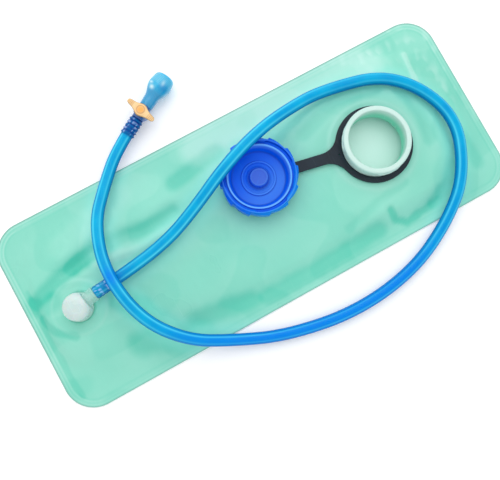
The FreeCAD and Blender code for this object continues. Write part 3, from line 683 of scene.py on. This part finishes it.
def makeBackFilm(material):
    # flat on the floor, with the weld's groove pressed in
    x, y = bagGrid(*bagSettings["backGrid"])
    z = 0.5 - 0.08 * weldLine(x, y) + 0 * x
    tone = 0.3 * swell(x, y, 21, 8, 30, 110)
    # painted light: the back film paler under the neck's opening
    underNeck = 1 - smooth(20, 28, np.hypot(x - neckSpot[0], y - neckSpot[1]))
    masks = {"foldTintAndShade": [np.clip(tone, 0, 1)], "paleAndPaintedLight": [np.clip(underNeck - tone, 0, 1)],
             "rimLine": [0.5 * bell(inset(x, y) - 0.2, 0.7)]}
    mesh = newMesh("backFilm", [(np.stack([x, y, z], axis=-1), quads(*x.shape))], masks, closed=False)
    return finishFilm("backFilm", mesh, material, "back_film")


def finishFilm(name, mesh, material, node):
    s = bagSettings
    piece = addPiece(name, mesh, material, "bladder", [node], 80)
    wall = piece.modifiers.new("wall", "SOLIDIFY")
    wall.thickness = s["film"] * millimetre
    wall.offset = -1
    return piece


filmLook = {
    "tone": (138, 220, 199), "clouded": (148, 226, 206), "cloudScale": 14, "grainScale": 420,
    "masks": {"foldTintAndShade": (62, 200, 174), "paintedTubeLight": (150, 250, 232), "paleAndPaintedLight": (196, 240, 229),
              "rimLine": (124, 168, 156)},
    "gloss": (0.26, 0.4), "bump": 0.25, "relief": 0.06, "edgeWear": 0.2, "scratches": 0.06,
    "worn": (190, 238, 226),
    # painted glow: a faint teal emission lifts the film's shaded parts
    "shader": {"IOR": 1.5, "Alpha": 0.86, "Coat Weight": 0.2, "Coat Roughness": 0.18,
               "Emission Color": shade((60, 205, 178)), "Emission Strength": 0.05},
}
backLook = dict(filmLook, tone=(176, 233, 219), clouded=(186, 238, 225), masks={
    "foldTintAndShade": (62, 200, 174), "paleAndPaintedLight": (228, 255, 249), "rimLine": (112, 164, 152)})
backFilm = makeBackFilm(makePlastic("paleMintFilm", backLook))
frontFilm = makeFrontFilm(makePlastic("mintFilm", filmLook))

# filler neck
tetherSettings = {
    "ringBore": 26.3,
    "ringOuter": 31.0,
    "halfWidth": 4.5,
    "fillet": 17.0,
    "eyelet": 8.0,
    "eyeletBore": 3.2,
    "dimpleReach": 29.3,
    "dimple": 0.6,
    "floor": 10.9,
    "top": 12.4,
    "ringFloor": 9.8,
    "roundEdge": 0.3,
    "slices": (31.0, 88.0, 1.5),
    "bendFrom": 35.0,
    "bendTo": 61.5,
    "bendHeight": 11.6,
}

neckSettings = {
    "bore": 22.7,
    "wall": 26.0,
    "flange": 36.0,
    "floor": 7.6,
    "flangeTop": 9.0,
    "rim": 24.0,
    "inward": 15.0,
    "lip": 26.9,
    "lean": (0.04, 0.07),
    "lug": 1.15,
    "lugSweep": 50.0,
    "lugHeight": 17.6,
    "lugPitch": 2.3,
}


def lugs(angle, height, sweep, middleHeight, drop, thickness=1.05):
    # three raised thread starts, each a rounded ridge that falls along its sweep
    third = np.degrees(angle) % 120
    line = middleHeight - drop * (third / sweep - 0.5)
    run = smooth(0, 5, third) * (1 - smooth(sweep - 5, sweep, third))
    return run * bell(height - line, thickness) ** 2


def makeNeck():
    # a turned section: weld flange, threaded wall and round lip; above the tether it leans by lean x height
    s = neckSettings
    bore, wall, rim, lip = s["bore"], s["wall"], s["rim"], s["lip"]
    profile = softLine([
        (bore, s["inward"], 0), (bore, s["floor"], 0.4), (s["flange"], s["floor"], 0.3),
        (s["flange"], s["flangeTop"], 0.5), (wall + 0.2, s["flangeTop"], 0.5), (wall, 10.2, 0.6),
        (wall, rim - 4.2, 0.5), (lip, rim - 3.0, 1.0), (lip, rim - 0.3, 1.3), (25.0, rim + 0.2, 0.8),
        (bore + 0.1, rim - 0.1, 1.1), (bore, s["inward"], 0),
    ], steps=9, reach=0.6)
    radius, angle, height = turned(profile[:-1], 216)
    height = np.minimum(height, rim)
    outside = smooth(wall - 0.6, wall - 0.1, radius) * (height > 12) * (height < rim - 4)
    radius = radius + s["lug"] * outside * lugs(angle, height, s["lugSweep"], s["lugHeight"], s["lugPitch"])
    points = upright(radius, angle, height)
    above = np.maximum(height - tetherSettings["top"], 0)
    points[..., 0] += s["lean"][0] * above
    points[..., 1] += s["lean"][1] * above
    grid = placed(points, neckSpot)
    # painted shade down the bore, teal, deeper toward the bottom
    inner = (1 - smooth(bore + 0.3, bore + 0.9, radius)) * (1 - smooth(rim - 11, rim - 1, height))
    faces = quads(*radius.shape, ringed=True, looped=True)
    mesh = newMesh("fillerNeck", [(grid, faces)], {"paintedBoreShade": [inner]})
    material = makePlastic("paleNeck", {
        "tone": (206, 238, 230), "clouded": (216, 243, 236), "cloudScale": 60, "grainScale": 1400,
        "masks": {"paintedBoreShade": (120, 230, 198)},
        "gloss": (0.28, 0.42), "bump": 0.15, "edgeWear": 0.35, "scratches": 0.25, "worn": (236, 248, 246),
        "shader": {"IOR": 1.48, "Alpha": 0.86},
    })
    return addPiece("fillerNeck", mesh, material, "bladder", ["filler_neck"], 50)


fillerNeck = makeNeck()

# screw cap, as it lies: plate down, open side up
capSettings = {
    "wall": 29.5,
    "tooth": 1.45,
    "teeth": 12,
    "depth": 14.0,
    "plate": 2.0,
    "recess": 27.9,
    "plug": 25.4,
    "plugSlope": 2.5,
    "plugTop": 11.9,
    "grooveFloor": 8.8,
    "step": 13.5,
    "stepWall": 1.2,
    "stepRise": 1.2,
    "boss": 7.0,
    "bossRise": 6.0,
    "lug": 1.2,
    "lugSweep": 70.0,
    "lowSide": (0.28, -0.96),
    "gasket": 1.6,
}


def capMasks(radius, height, grid):
    # painted highlights on the ridges, painted shade in the corners, the floor and rim painted paler toward
    # the low side, where light falls, and a greyer boss
    s = capSettings
    top, floor, plug, slope = s["depth"], s["plate"], s["plug"], s["plug"] - s["plugSlope"]
    inCup = height > 1
    # painted highlights on the ridges
    highlight = 0.35 * bell(radius - s["recess"] - 0.2, 0.45) * smooth(top - 1.6, top - 0.5, height)
    sloped = smooth(slope - 1.2, slope, radius) * (radius < plug - 0.02)
    highlight = highlight + 0.6 * sloped * smooth(floor + 2, s["plugTop"] - 1.5, height)
    highlight = highlight + 0.6 * bell(radius - plug + 1.0, 0.7) * (height > s["plugTop"] - 0.8)
    highlight = highlight + 0.25 * bell(radius - s["step"] + 0.6, 0.7) * smooth(floor + 0.6, floor + 1.1, height)
    highlight = highlight + 0.2 * bell(radius - s["boss"] + 0.5, 0.5) * smooth(floor + 4, floor + 5.5, height)
    # painted shade in the corners
    shaded = bell(radius - slope + 1.8, 0.7) * (1 - smooth(floor, floor + 2, height)) * inCup
    shaded = shaded + bell(radius - s["boss"] - 0.9, 1.1) * inCup * (height < floor + 2)
    shaded = shaded + 0.8 * bell(radius - s["step"] - 0.35, 0.35) * inCup * (height < floor + 0.8)
    boss = (1 - smooth(s["boss"] - 0.5, s["boss"] + 0.2, radius)) * smooth(floor + 3, floor + 5, height)
    # painted light: the floor and rim paler toward the low side, where light falls
    lower = (grid[..., :2] - capSpot[:2]) @ s["lowSide"]
    paler = smooth(-12, 16, lower) * (1 - smooth(slope - 2.5, slope - 1, radius)) * inCup
    rimLow = smooth(4, 28, lower) * smooth(plug, plug + 0.5, radius)
    return {"paintedEdgeHighlight": [np.clip(highlight, 0, 1)], "deepTintAndShade": [0.6 * shaded], "paleFloor": [0.8 * paler],
            "paintedRimLight": [rimLow], "bossTone": [0.75 * boss]}


def makeCap():
    # a turned section: plate, wall, groove, sloped plug ring, step and boss; radius + saw-tooth ribs on the
    # wall
    s = capSettings
    top, floor, wall, recess, plug = s["depth"], s["plate"], s["wall"], s["recess"], s["plug"]
    plugTop, groove, step, boss = s["plugTop"], s["grooveFloor"], s["step"], s["boss"]
    slope, bossTop, inStep = plug - s["plugSlope"], floor + s["bossRise"], step - s["stepWall"]
    profile = softLine([
        (0, 0, 0), (wall - 0.2, 0, 1.1), (wall, top - 2.6, 0.5), (wall - 0.75, top - 0.45, 0.4),
        (recess + 0.75, top + 0.05, 0.3), (recess + 0.05, top - 0.2, 0.3), (recess, groove, 0.3),
        (plug, groove, 0.2), (plug, plugTop - 0.6, 0.4), (plug - 0.4, plugTop, 0.35),
        (plug - 1.5, plugTop - 0.3, 0.5), (slope, floor + 3.2, 1.2), (slope - 1.6, floor, 1.4),
        (step, floor, 0.25), (step - 0.1, floor + s["stepRise"], 0.3), (inStep, floor + s["stepRise"], 0.3),
        (inStep - 0.1, floor, 0.25), (10.2, floor, 0.2), (9.9, floor + 0.35, 0.2), (9.5, floor + 0.35, 0.2),
        (9.2, floor, 0.2), (boss + 0.3, floor, 0.7), (boss - 0.1, bossTop - 0.1, 0.9), (5.4, bossTop, 0.3),
        (5.1, bossTop - 0.2, 0.2), (0, bossTop - 0.35, 0),
    ], steps=5, reach=0.75)
    radius, angle, height = turned(profile, 432)
    height = np.minimum(height, top)
    phase = (angle * s["teeth"] / (2 * np.pi)) % 1
    tooth = np.clip((phase - 0.14) / 0.8, 0, 1) * (1 - smooth(0.95, 1.0, phase))
    side = smooth(wall - 0.9, wall - 0.1, radius) * smooth(0.2, 1.2, height)
    side = side * (1 - smooth(top - 2.7, top - 0.6, height))
    radius = radius + s["tooth"] * tooth * side
    inside = (np.abs(radius - recess) < 0.2) * smooth(floor + 1, floor + 2, height)
    radius = radius - s["lug"] * inside * lugs(angle, height, s["lugSweep"], top - 2.0, 2.0, 0.9)
    grid = placed(upright(radius, angle, height), capSpot, strapHeading, capSpot[2])
    mesh = newMesh("screwCap", [(grid, quads(*radius.shape, ringed=True))], capMasks(radius, height, grid))
    material = makePlastic("blueCap", {
        "tone": (0, 94, 232), "clouded": (0, 104, 240), "cloudScale": 45, "grainScale": 1500,
        "masks": {"paleFloor": (66, 134, 232), "paintedRimLight": (0, 130, 232), "deepTintAndShade": (0, 52, 170),
                  "bossTone": (66, 98, 204), "paintedEdgeHighlight": (104, 176, 255)},
        "gloss": (0.28, 0.4), "bump": 0.2, "edgeWear": 0.5, "scratches": 0.2, "worn": (30, 136, 246),
        "shader": {"IOR": 1.48, "Specular IOR Level": 0.14},
    })
    return addPiece("screwCap", mesh, material, "cap", ["screw_cap"], 38)


def makeGasket():
    # a turned rectangle with rounded corners, in the groove between the plug and the wall, barely wavy on top
    s = capSettings
    low, high = s["grooveFloor"] + 0.05, s["grooveFloor"] + s["gasket"]
    inner, outer = s["plug"] + 0.1, s["recess"] - 0.15
    half = (inner + outer) / 2
    profile = softLine([
        (half, low, 0), (outer, low, 0.2), (outer, high, 0.35), (inner, high, 0.35), (inner, low, 0.2),
        (half, low, 0),
    ], steps=5)[:-1]
    radius, angle, height = turned(profile, 216)
    height = height + 0.05 * np.sin(9 * angle) * (height > low + 1)
    grid = placed(upright(radius, angle, height), capSpot, strapHeading, capSpot[2])
    mesh = newMesh("capGasket", [(grid, quads(*radius.shape, ringed=True, looped=True))])
    material = makePlastic("blueGasket", {
        "tone": (0, 96, 232), "clouded": (6, 108, 238), "cloudScale": 60, "grainScale": 1200,
        "gloss": (0.4, 0.55), "bump": 0.3, "edgeWear": 0.3, "scratches": 0.1, "worn": (60, 130, 236),
        "shader": {"IOR": 1.45, "Specular IOR Level": 0.15},
    })
    return addPiece("capGasket", mesh, material, "cap", ["cap_seal"], 50)


screwCap = makeCap()
capGasket = makeGasket()

def arcPoints(centre, radius, start, end, count):
    # points along an arc, its ends in degrees
    turn = np.radians(np.linspace(start, end, count))
    return np.column_stack([centre[0] + radius * np.cos(turn), centre[1] + radius * np.sin(turn)])


def tetherOutline():
    # ring, two concave fillets into the strap, and the round eyelet; the strap lies along +X
    s = tetherSettings
    reach = np.hypot(*(capSpot - neckSpot)[:2])
    up = s["halfWidth"] + s["fillet"]
    across = math.sqrt((s["ringOuter"] + s["fillet"]) ** 2 - up**2)
    leave = math.degrees(math.atan2(up, across))
    eye = math.degrees(math.asin(s["halfWidth"] / s["eyelet"]))
    return [
        np.vstack([
            arcPoints((0, 0), s["ringOuter"], leave, 360 - leave, 120),
            arcPoints((across, -up), s["fillet"], 180 - leave, 90, 22)[1:],
            arcPoints((reach, 0), s["eyelet"], eye - 180, 180 - eye, 50),
            arcPoints((across, up), s["fillet"], 270, 180 + leave, 22)[:-1],
        ]),
        arcPoints((0, 0), s["ringBore"], 360, 0, 121)[:-1],
        arcPoints((reach, 0), s["eyeletBore"], 360, 0, 33)[:-1],
        arcPoints((s["dimpleReach"], 0), s["dimple"], 360, 0, 17)[:-1],
    ]


def makeTether():
    # ring, flare, strap and eyelet in one moulding: the filled outline given a thickness, sliced across the
    # strap, with the ring's underside reaching lower than the strap's
    s = tetherSettings
    curve = bpy.data.curves.new("tetherOutline", "CURVE")
    curve.dimensions = "2D"
    curve.fill_mode = "BOTH"
    curve.extrude = (s["top"] - s["floor"]) / 2 - s["roundEdge"]
    curve.bevel_depth = s["roundEdge"]
    curve.offset = -s["roundEdge"]
    curve.bevel_resolution = 2
    for loop in tetherOutline():
        spline = curve.splines.new("POLY")
        spline.points.add(len(loop) - 1)
        spline.points.foreach_set("co", np.column_stack([loop, 0 * loop]).ravel())
        spline.use_cyclic_u = True
    flat = bpy.data.objects.new("tetherOutline", curve)
    mesh = bpy.data.meshes.new_from_object(flat)
    bpy.data.objects.remove(flat)
    bpy.data.curves.remove(curve)
    mesh.name = "tether"
    work = bmesh.new()
    work.from_mesh(mesh)
    bmesh.ops.remove_doubles(work, verts=work.verts, dist=1e-4)
    for cut in np.arange(*s["slices"]):
        everything = work.verts[:] + work.edges[:] + work.faces[:]
        bmesh.ops.bisect_plane(work, geom=everything, plane_co=(cut, 0, 0), plane_no=(1, 0, 0))
    bmesh.ops.recalc_face_normals(work, faces=work.faces)
    work.to_mesh(mesh)
    work.free()
    points = np.empty(len(mesh.vertices) * 3, np.float32)
    mesh.vertices.foreach_get("co", points)
    points = points.reshape(-1, 3).astype(float)
    away = np.hypot(points[:, 0], points[:, 1])
    points[:, 2] += (s["top"] + s["floor"]) / 2
    thick = 1 - smooth(s["ringOuter"] + 0.2, s["ringOuter"] + 6, away)
    below = smooth(0.5, -0.5, (points[:, 2] - s["floor"] - 0.5) / 0.4)
    points[:, 2] -= (s["floor"] - s["ringFloor"]) * thick * below
    points = placed(points, neckSpot, strapHeading)
    mesh.vertices.foreach_set("co", (points * millimetre).astype(np.float32).ravel())
    mesh.update()
    material = makePlastic("charcoalTether", {
        "tone": (18, 30, 40), "clouded": (32, 44, 54), "cloudScale": 60, "grainScale": 1200,
        "gloss": (0.45, 0.6), "bump": 0.35, "edgeWear": 0.5, "scratches": 0.2, "worn": (92, 104, 116),
        "shader": {"IOR": 1.45, "Specular IOR Level": 0.35},
    })
    piece = addPiece("tether", mesh, material, None, ["tether_ring", "tether_strap"], 45)
    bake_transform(piece)
    return piece


tether = makeTether()

# outlet: domed elbow and the clear insert with its barbs
outletSettings = {
    "radius": 10.75,
    "round": 6.8,
    "foot": 11.8,
    "top": 26.3,
    "face": 8.1,
    "height": 18.0,
    "plugRadius": 7.7,
    "plugFoot": 9.6,
    "insertStart": 4.3,
    "insert": 4.5,
    "collar": 6.0,
    "tubeStart": 16.5,
    "insertEnd": 31.0,
    "barbCore": 2.75,
    "barbCrest": 3.15,
    "bore": 2.2,
}


def makeElbow():
    # a turned drum with a round shoulder over a plug; x is eased down to the face where it would pass it
    s = outletSettings
    plug, foot, low, full = s["plugRadius"], s["foot"], s["plugFoot"], s["radius"]
    turn = np.linspace(0, np.pi / 2, 30)
    shoulder = s["top"] - s["round"]
    flat = s["radius"] - s["round"]
    dome = np.column_stack([flat + s["round"] * np.cos(turn), shoulder + s["round"] * np.sin(turn)])
    dome = np.vstack([dome, [[flat * 0.6, s["top"] + 0.06], [0, s["top"] + 0.1]]])
    profile = np.vstack([
        softLine([(0, low, 0), (plug, low, 0.3), (plug, foot, 0.2), (full - 0.2, foot, 0.5),
                  (full, foot + 1.2, 0.3), (full, shoulder - 0.01, 0)], reach=0.7),
        dome,
    ])
    radius, angle, height = turned(profile, 160)
    points = upright(radius, angle, height)
    over = points[..., 0] - s["face"]
    points[..., 0] = s["face"] - np.logaddexp(0, -over / 0.18) * 0.18
    grid = placed(points, outletSpot, outletHeading)
    mesh = newMesh("outletElbow", [(grid, quads(*radius.shape, ringed=True))])
    material = makePlastic("whiteElbow", {
        "tone": (196, 217, 214), "clouded": (209, 227, 224), "cloudScale": 70, "grainScale": 1400,
        "gloss": (0.22, 0.34), "bump": 0.12, "edgeWear": 0.4, "scratches": 0.25, "worn": (244, 250, 250),
        "shader": {"IOR": 1.48, "Subsurface Weight": 0.2, "Subsurface Scale": 0.004, "Coat Weight": 0.2},
    })
    return addPiece("outletElbow", mesh, material, "bladder", ["outlet_elbow"], 35)


def makeConnector():
    # a turned sleeve along the flow: plug, grooved collar, then four saw-tooth barbs inside the tube
    s = outletSettings
    core, crest, bore, plug, collar = s["barbCore"], s["barbCrest"], s["bore"], s["insert"] - 0.1, s["collar"]
    first, face, stop = s["insertStart"], s["face"], s["tubeStart"]
    corners = [(first, bore, 0), (first, plug, 0.3), (face + 0.1, plug, 0.1), (face + 0.1, collar, 0.5),
               (face + 2.4, collar, 0.3), (face + 2.9, collar - 0.35, 0.3), (stop - 2.2, collar - 0.35, 0.3),
               (stop - 1.8, collar, 0.3), (stop - 0.1, collar, 0.4), (stop, core, 0.1)]
    for start in stop + 1 + 3 * np.arange(4):
        corners += [(start, crest, 0.15), (start + 2.8, core, 0.1)]
    corners += [(s["insertEnd"], core, 0.2), (s["insertEnd"], bore, 0.1), (first, bore, 0)]
    profile = softLine(corners, steps=4, reach=1.5)[:-1]
    radius, angle, along = turned(profile[:, ::-1], 72)
    grid = placed(lying(radius, angle, along), outletSpot, outletHeading, s["height"])
    mesh = newMesh("tubeConnector", [(grid, quads(*radius.shape, ringed=True, looped=True))])
    material = makePlastic("clearInsert", {
        "tone": (190, 237, 226), "clouded": (206, 243, 234), "cloudScale": 80, "grainScale": 1400,
        "gloss": (0.2, 0.32), "bump": 0.08, "edgeWear": 0.3, "scratches": 0.2, "worn": (240, 250, 250),
        "shader": {"IOR": 1.45, "Specular IOR Level": 0.3, "Alpha": 0.38},
    })
    return addPiece("tubeConnector", mesh, material, "bladder", ["tube_connector"], 40)


outletElbow = makeElbow()
tubeConnector = makeConnector()

# shut-off lever and bite valve, along the tube's last run
valveHeading = heading(tubeRoute[-2], tubeRoute[-1])
leverSettings = {
    "turn": -7.0,
    "reach": 13.1,
    "hub": 5.1,
    "wing": 2.3,
    "waist": 5.0,
    "floor": 5.5,
    "top": 8.9,
    "ridges": 1.35,
}
biteSettings = {
    "back": 5.6,
    "sleeve": 4.93,
    "neck": 5.35,
    "shoulder": 9.1,
    "front": 7.7,
    "end": 34.7,
    "bore": 3.85,
    "rib": 0.15,
}


def makeLever():
    # flattened ovals across the flow: half width and thickness swell as a bell from the wings to the hub,
    # with a ring pressed round the pivot and ridges across the wing tips
    s = leverSettings
    share = np.sin(np.linspace(-np.pi / 2, np.pi / 2, 150))[:, None]
    across = s["reach"] * share
    turn = np.linspace(0, 2 * np.pi, 56, endpoint=False)[None]
    close = np.sqrt(np.maximum(1 - np.abs(share) ** 9, 0))
    hub = bell(across, 5.6)
    half = (s["wing"] + (s["hub"] - s["wing"]) * bell(across, s["waist"])) * close
    thick = (1.05 + 0.65 * bell(across, 5.0)) * close
    level = (s["floor"] + s["top"]) / 2 - 0.2 * (1 - hub)
    x = half * np.sign(np.cos(turn)) * np.abs(np.cos(turn)) ** 0.8
    z = thick * np.sign(np.sin(turn)) * np.abs(np.sin(turn)) ** 0.8
    tip = smooth(6.8, 7.6, np.abs(across)) * (1 - smooth(12.2, 12.8, np.abs(across)))
    ridge = tip * np.maximum(np.cos(2 * np.pi * across / s["ridges"]), 0) * (z > 0)
    z = z + 0.22 * ridge * np.sin(turn)
    boss = np.hypot(x, across)
    z = z - 0.22 * (z > 0) * bell(boss - 3.1, 0.35)
    z = np.clip(z + level, s["floor"] + 0.05, s["top"])
    # deeper orange at the hub and on the tip ridges
    mask = np.clip(0.9 * bell(boss - 0.8, 2.4) + 0.35 * ridge, 0, 1)
    # painted shade along the side edges, in the ring round the pivot and between the tip ridges
    side = smooth(0.75, 0.97, np.abs(np.cos(turn))) + 0 * x
    groove = np.clip(0.75 * side + 0.6 * bell(boss - 3.1, 0.4) + 0.4 * tip * (ridge < 0.1), 0, 1)
    points = np.stack([x, across + 0 * x, z], axis=-1)
    grid = placed(points, valveSpot, valveHeading + math.radians(s["turn"]), valveSpot[2])
    mesh = newMesh("shutoffLever", [(grid, quads(*x.shape, ringed=True))],
                   {"deepTintAndShade": [mask], "paintedEdgeShade": [groove]})
    material = makePlastic("peachLever", {
        "tone": (240, 202, 146), "clouded": (246, 212, 160), "cloudScale": 120, "grainScale": 1600,
        "masks": {"deepTintAndShade": (248, 168, 72), "paintedEdgeShade": (168, 126, 80)},
        "gloss": (0.22, 0.34), "bump": 0.12, "edgeWear": 0.4, "scratches": 0.15, "worn": (252, 232, 200),
        "shader": {"IOR": 1.48, "Specular IOR Level": 0.35},
    })
    return addPiece("shutoffLever", mesh, material, "shutoff", ["shutoff_lever"], 50)


def makeBite():
    # a turned section along the flow: sleeve, flare, shoulder, taper with a cosine of fine ribs, and a round
    # front with a slit pressed across it
    s = biteSettings
    profile = softLine([
        (26.4, 0, 0), (26.4, s["bore"], 0.3), (17.35, s["bore"], 0.1), (17.35, s["sleeve"], 0.1),
        (s["back"], s["sleeve"], 0.1), (s["back"], s["neck"] - 0.1, 0.2), (14.5, s["neck"] + 0.35, 2.5),
        (21.6, s["shoulder"] - 0.3, 2.6), (25.4, s["shoulder"] + 0.1, 2.6),
        (33.3, s["front"] + 0.1, 1.8), (s["end"] + 0.15, 5.4, 1.8), (s["end"], 0, 0),
    ], steps=10, reach=0.28)
    radius, angle, along = turned(profile[:, ::-1], 144)
    front = smooth(24.5, 26.0, along) * (1 - smooth(32.2, 33.0, along)) * smooth(5, 6, radius)
    upper = 0.35 + 0.65 * bell(((np.degrees(angle) + 180) % 360) - 180 - 30, 75)
    radius = radius + s["rib"] * front * upper * np.cos(2 * np.pi * along / 1.15)
    radius = np.minimum(radius, s["shoulder"] + 0.04)
    points = lying(radius, angle, along)
    across, above, face = np.abs(points[..., 1]), points[..., 2], along > 34
    slit = bell(above, 0.34) * (1 - smooth(4.0, 4.6, across)) * face
    lips = bell(np.abs(above) - 0.9, 0.4) * (1 - smooth(4.0, 5.0, across)) * face
    points[..., 0] += -1.5 * slit + 0.08 * lips
    # painted highlight on the crests of the upper side's ribs
    mask = front * upper * (0.5 + 0.5 * np.cos(2 * np.pi * along / 1.15))
    body = 1 - smooth(17, 22, along)
    degrees = np.degrees(angle)
    # painted light: a pale flare on the lower side of the shoulder
    flare = bell(degrees - 262, 24) * smooth(11, 15, along) * (1 - smooth(22, 27, along))
    # painted highlights on the shoulder
    paintedShine = bell(degrees - 24, 14) * bell(along - 20.2, 1.5)
    paintedShine = paintedShine + 0.8 * bell(degrees - 40, 12) * bell(along - 23.5, 1.0)
    paintedShine = paintedShine + 0.5 * bell(degrees - 340, 9) * bell(along - 27.0, 2.4)
    # deeper cyan on one side of the shoulder
    deep = bell(degrees - 322, 36) * bell(along - 23.5, 4.5)
    grid = placed(points, valveSpot, valveHeading, valveSpot[2])
    mesh = newMesh("biteValve", [(grid, quads(*radius.shape, ringed=True))],
                   {"paleAndPaintedLight": [0.6 * mask], "bodyTone": [body], "deepTintAndShade": [deep],
                    "paintedFlareLight": [0.85 * flare], "paintedShine": [np.clip(paintedShine, 0, 1)]})
    material = makePlastic("softBlueBite", {
        "tone": (34, 180, 226), "clouded": (58, 194, 234), "cloudScale": 60, "grainScale": 1100,
        "masks": {"paleAndPaintedLight": (150, 224, 244), "bodyTone": (58, 160, 210), "deepTintAndShade": (0, 150, 212),
                  "paintedFlareLight": (206, 230, 240), "paintedShine": (214, 246, 252)},
        "gloss": (0.14, 0.26), "bump": 0.12, "edgeWear": 0.2, "scratches": 0.1, "worn": (150, 224, 244),
        "shader": {"IOR": 1.43, "Specular IOR Level": 0.5, "Coat Weight": 0.3, "Coat Roughness": 0.08,
                   "Alpha": 0.9},
    })
    return addPiece("biteValve", mesh, material, "bladder", ["bite_valve"], 60)


shutoffLever = makeLever()
biteValve = makeBite()


# finishes for the nodes that stay
def paintNode(node, material):
    piece = frame["nodes"][node]
    piece.data.materials.clear()
    piece.data.materials.append(material)
    return piece


keptFinishes = {
    ("outlet_port",): ("mintPort", {
        "tone": (186, 232, 220), "clouded": (196, 238, 227), "gloss": (0.3, 0.45), "worn": (226, 245, 240)}),
    ("cap_pin",): ("charcoalPin", {
        "tone": (46, 54, 68), "clouded": (58, 66, 80), "gloss": (0.45, 0.6), "worn": (96, 104, 118)}),
    ("port_seal", "connector_seal", "upper_rotor_seal", "lower_rotor_seal"): ("blackSeal", {
        "tone": (24, 26, 28), "clouded": (36, 38, 40), "gloss": (0.35, 0.5), "worn": (70, 72, 74)}),
    ("valve_body",): ("clearBlueValve", {
        "tone": (26, 78, 150), "clouded": (40, 96, 166), "gloss": (0.16, 0.28), "worn": (120, 170, 226),
        "shader": {"IOR": 1.49, "Coat Weight": 0.3}}),
    ("valve_rotor",): ("whiteRotor", {
        "tone": (226, 230, 232), "clouded": (236, 239, 240), "gloss": (0.25, 0.4), "worn": (248, 248, 248)}),
}


def paintKept():
    for nodes, (name, look) in keptFinishes.items():
        material = makePlastic(name, look)
        for node in nodes:
            paintNode(node, material)
    print("kept nodes painted")


paintKept()

# floor and light
studio = {
    "floor": 6.0,
    "world": 0.9,
    "worldColour": (0.985, 0.995, 1.0, 1),
    "keyPower": 4.6,
    "keySize": 1.1,
    "keyPlace": (180, 620, 900),
}


def directionTo(way):
    # angles that point a light's -Z along way
    flat = math.hypot(way[0], way[1])
    return (math.atan2(flat, -way[2]), 0, math.atan2(way[1], way[0]) - math.pi / 2)


def makeStudio():
    # a plain floor, an even world and one soft key light
    s = studio
    half = s["floor"] / 2 / millimetre
    corners = np.array([[[-half, -half, 0], [half, -half, 0]], [[-half, half, 0], [half, half, 0]]])
    mesh = newMesh("floor", [(corners, quads(2, 2))], closed=False)
    mesh.materials.append(makePlastic("paleFloor", {
        "tone": (250, 251, 252), "clouded": (252, 253, 253), "cloudScale": 3, "grainScale": 300,
        "gloss": (0.55, 0.7), "bump": 0.05, "edgeWear": 0.0, "scratches": 0.0,
        "shader": {"Emission Color": (1, 1, 1, 1), "Emission Strength": 0.1}}))
    floor = bpy.data.objects.new("floor", mesh)
    bpy.context.scene.collection.objects.link(floor)
    world = bpy.data.worlds.new("softStudio")
    bpy.context.scene.world = world
    world.use_nodes = True
    world.node_tree.nodes["Background"].inputs["Color"].default_value = s["worldColour"]
    world.node_tree.nodes["Background"].inputs["Strength"].default_value = s["world"]
    key = bpy.data.objects.new("keyLight", bpy.data.lights.new("keyLight", "AREA"))
    key.data.size = s["keySize"]
    key.data.energy = s["keyPower"]
    key.location = np.array(s["keyPlace"]) * millimetre
    target = -np.array(s["keyPlace"]) * millimetre
    key.rotation_euler = directionTo(target)
    bpy.context.scene.collection.objects.link(key)
    bpy.context.scene.view_settings.view_transform = "Standard"
    print("studio lit")


makeStudio()
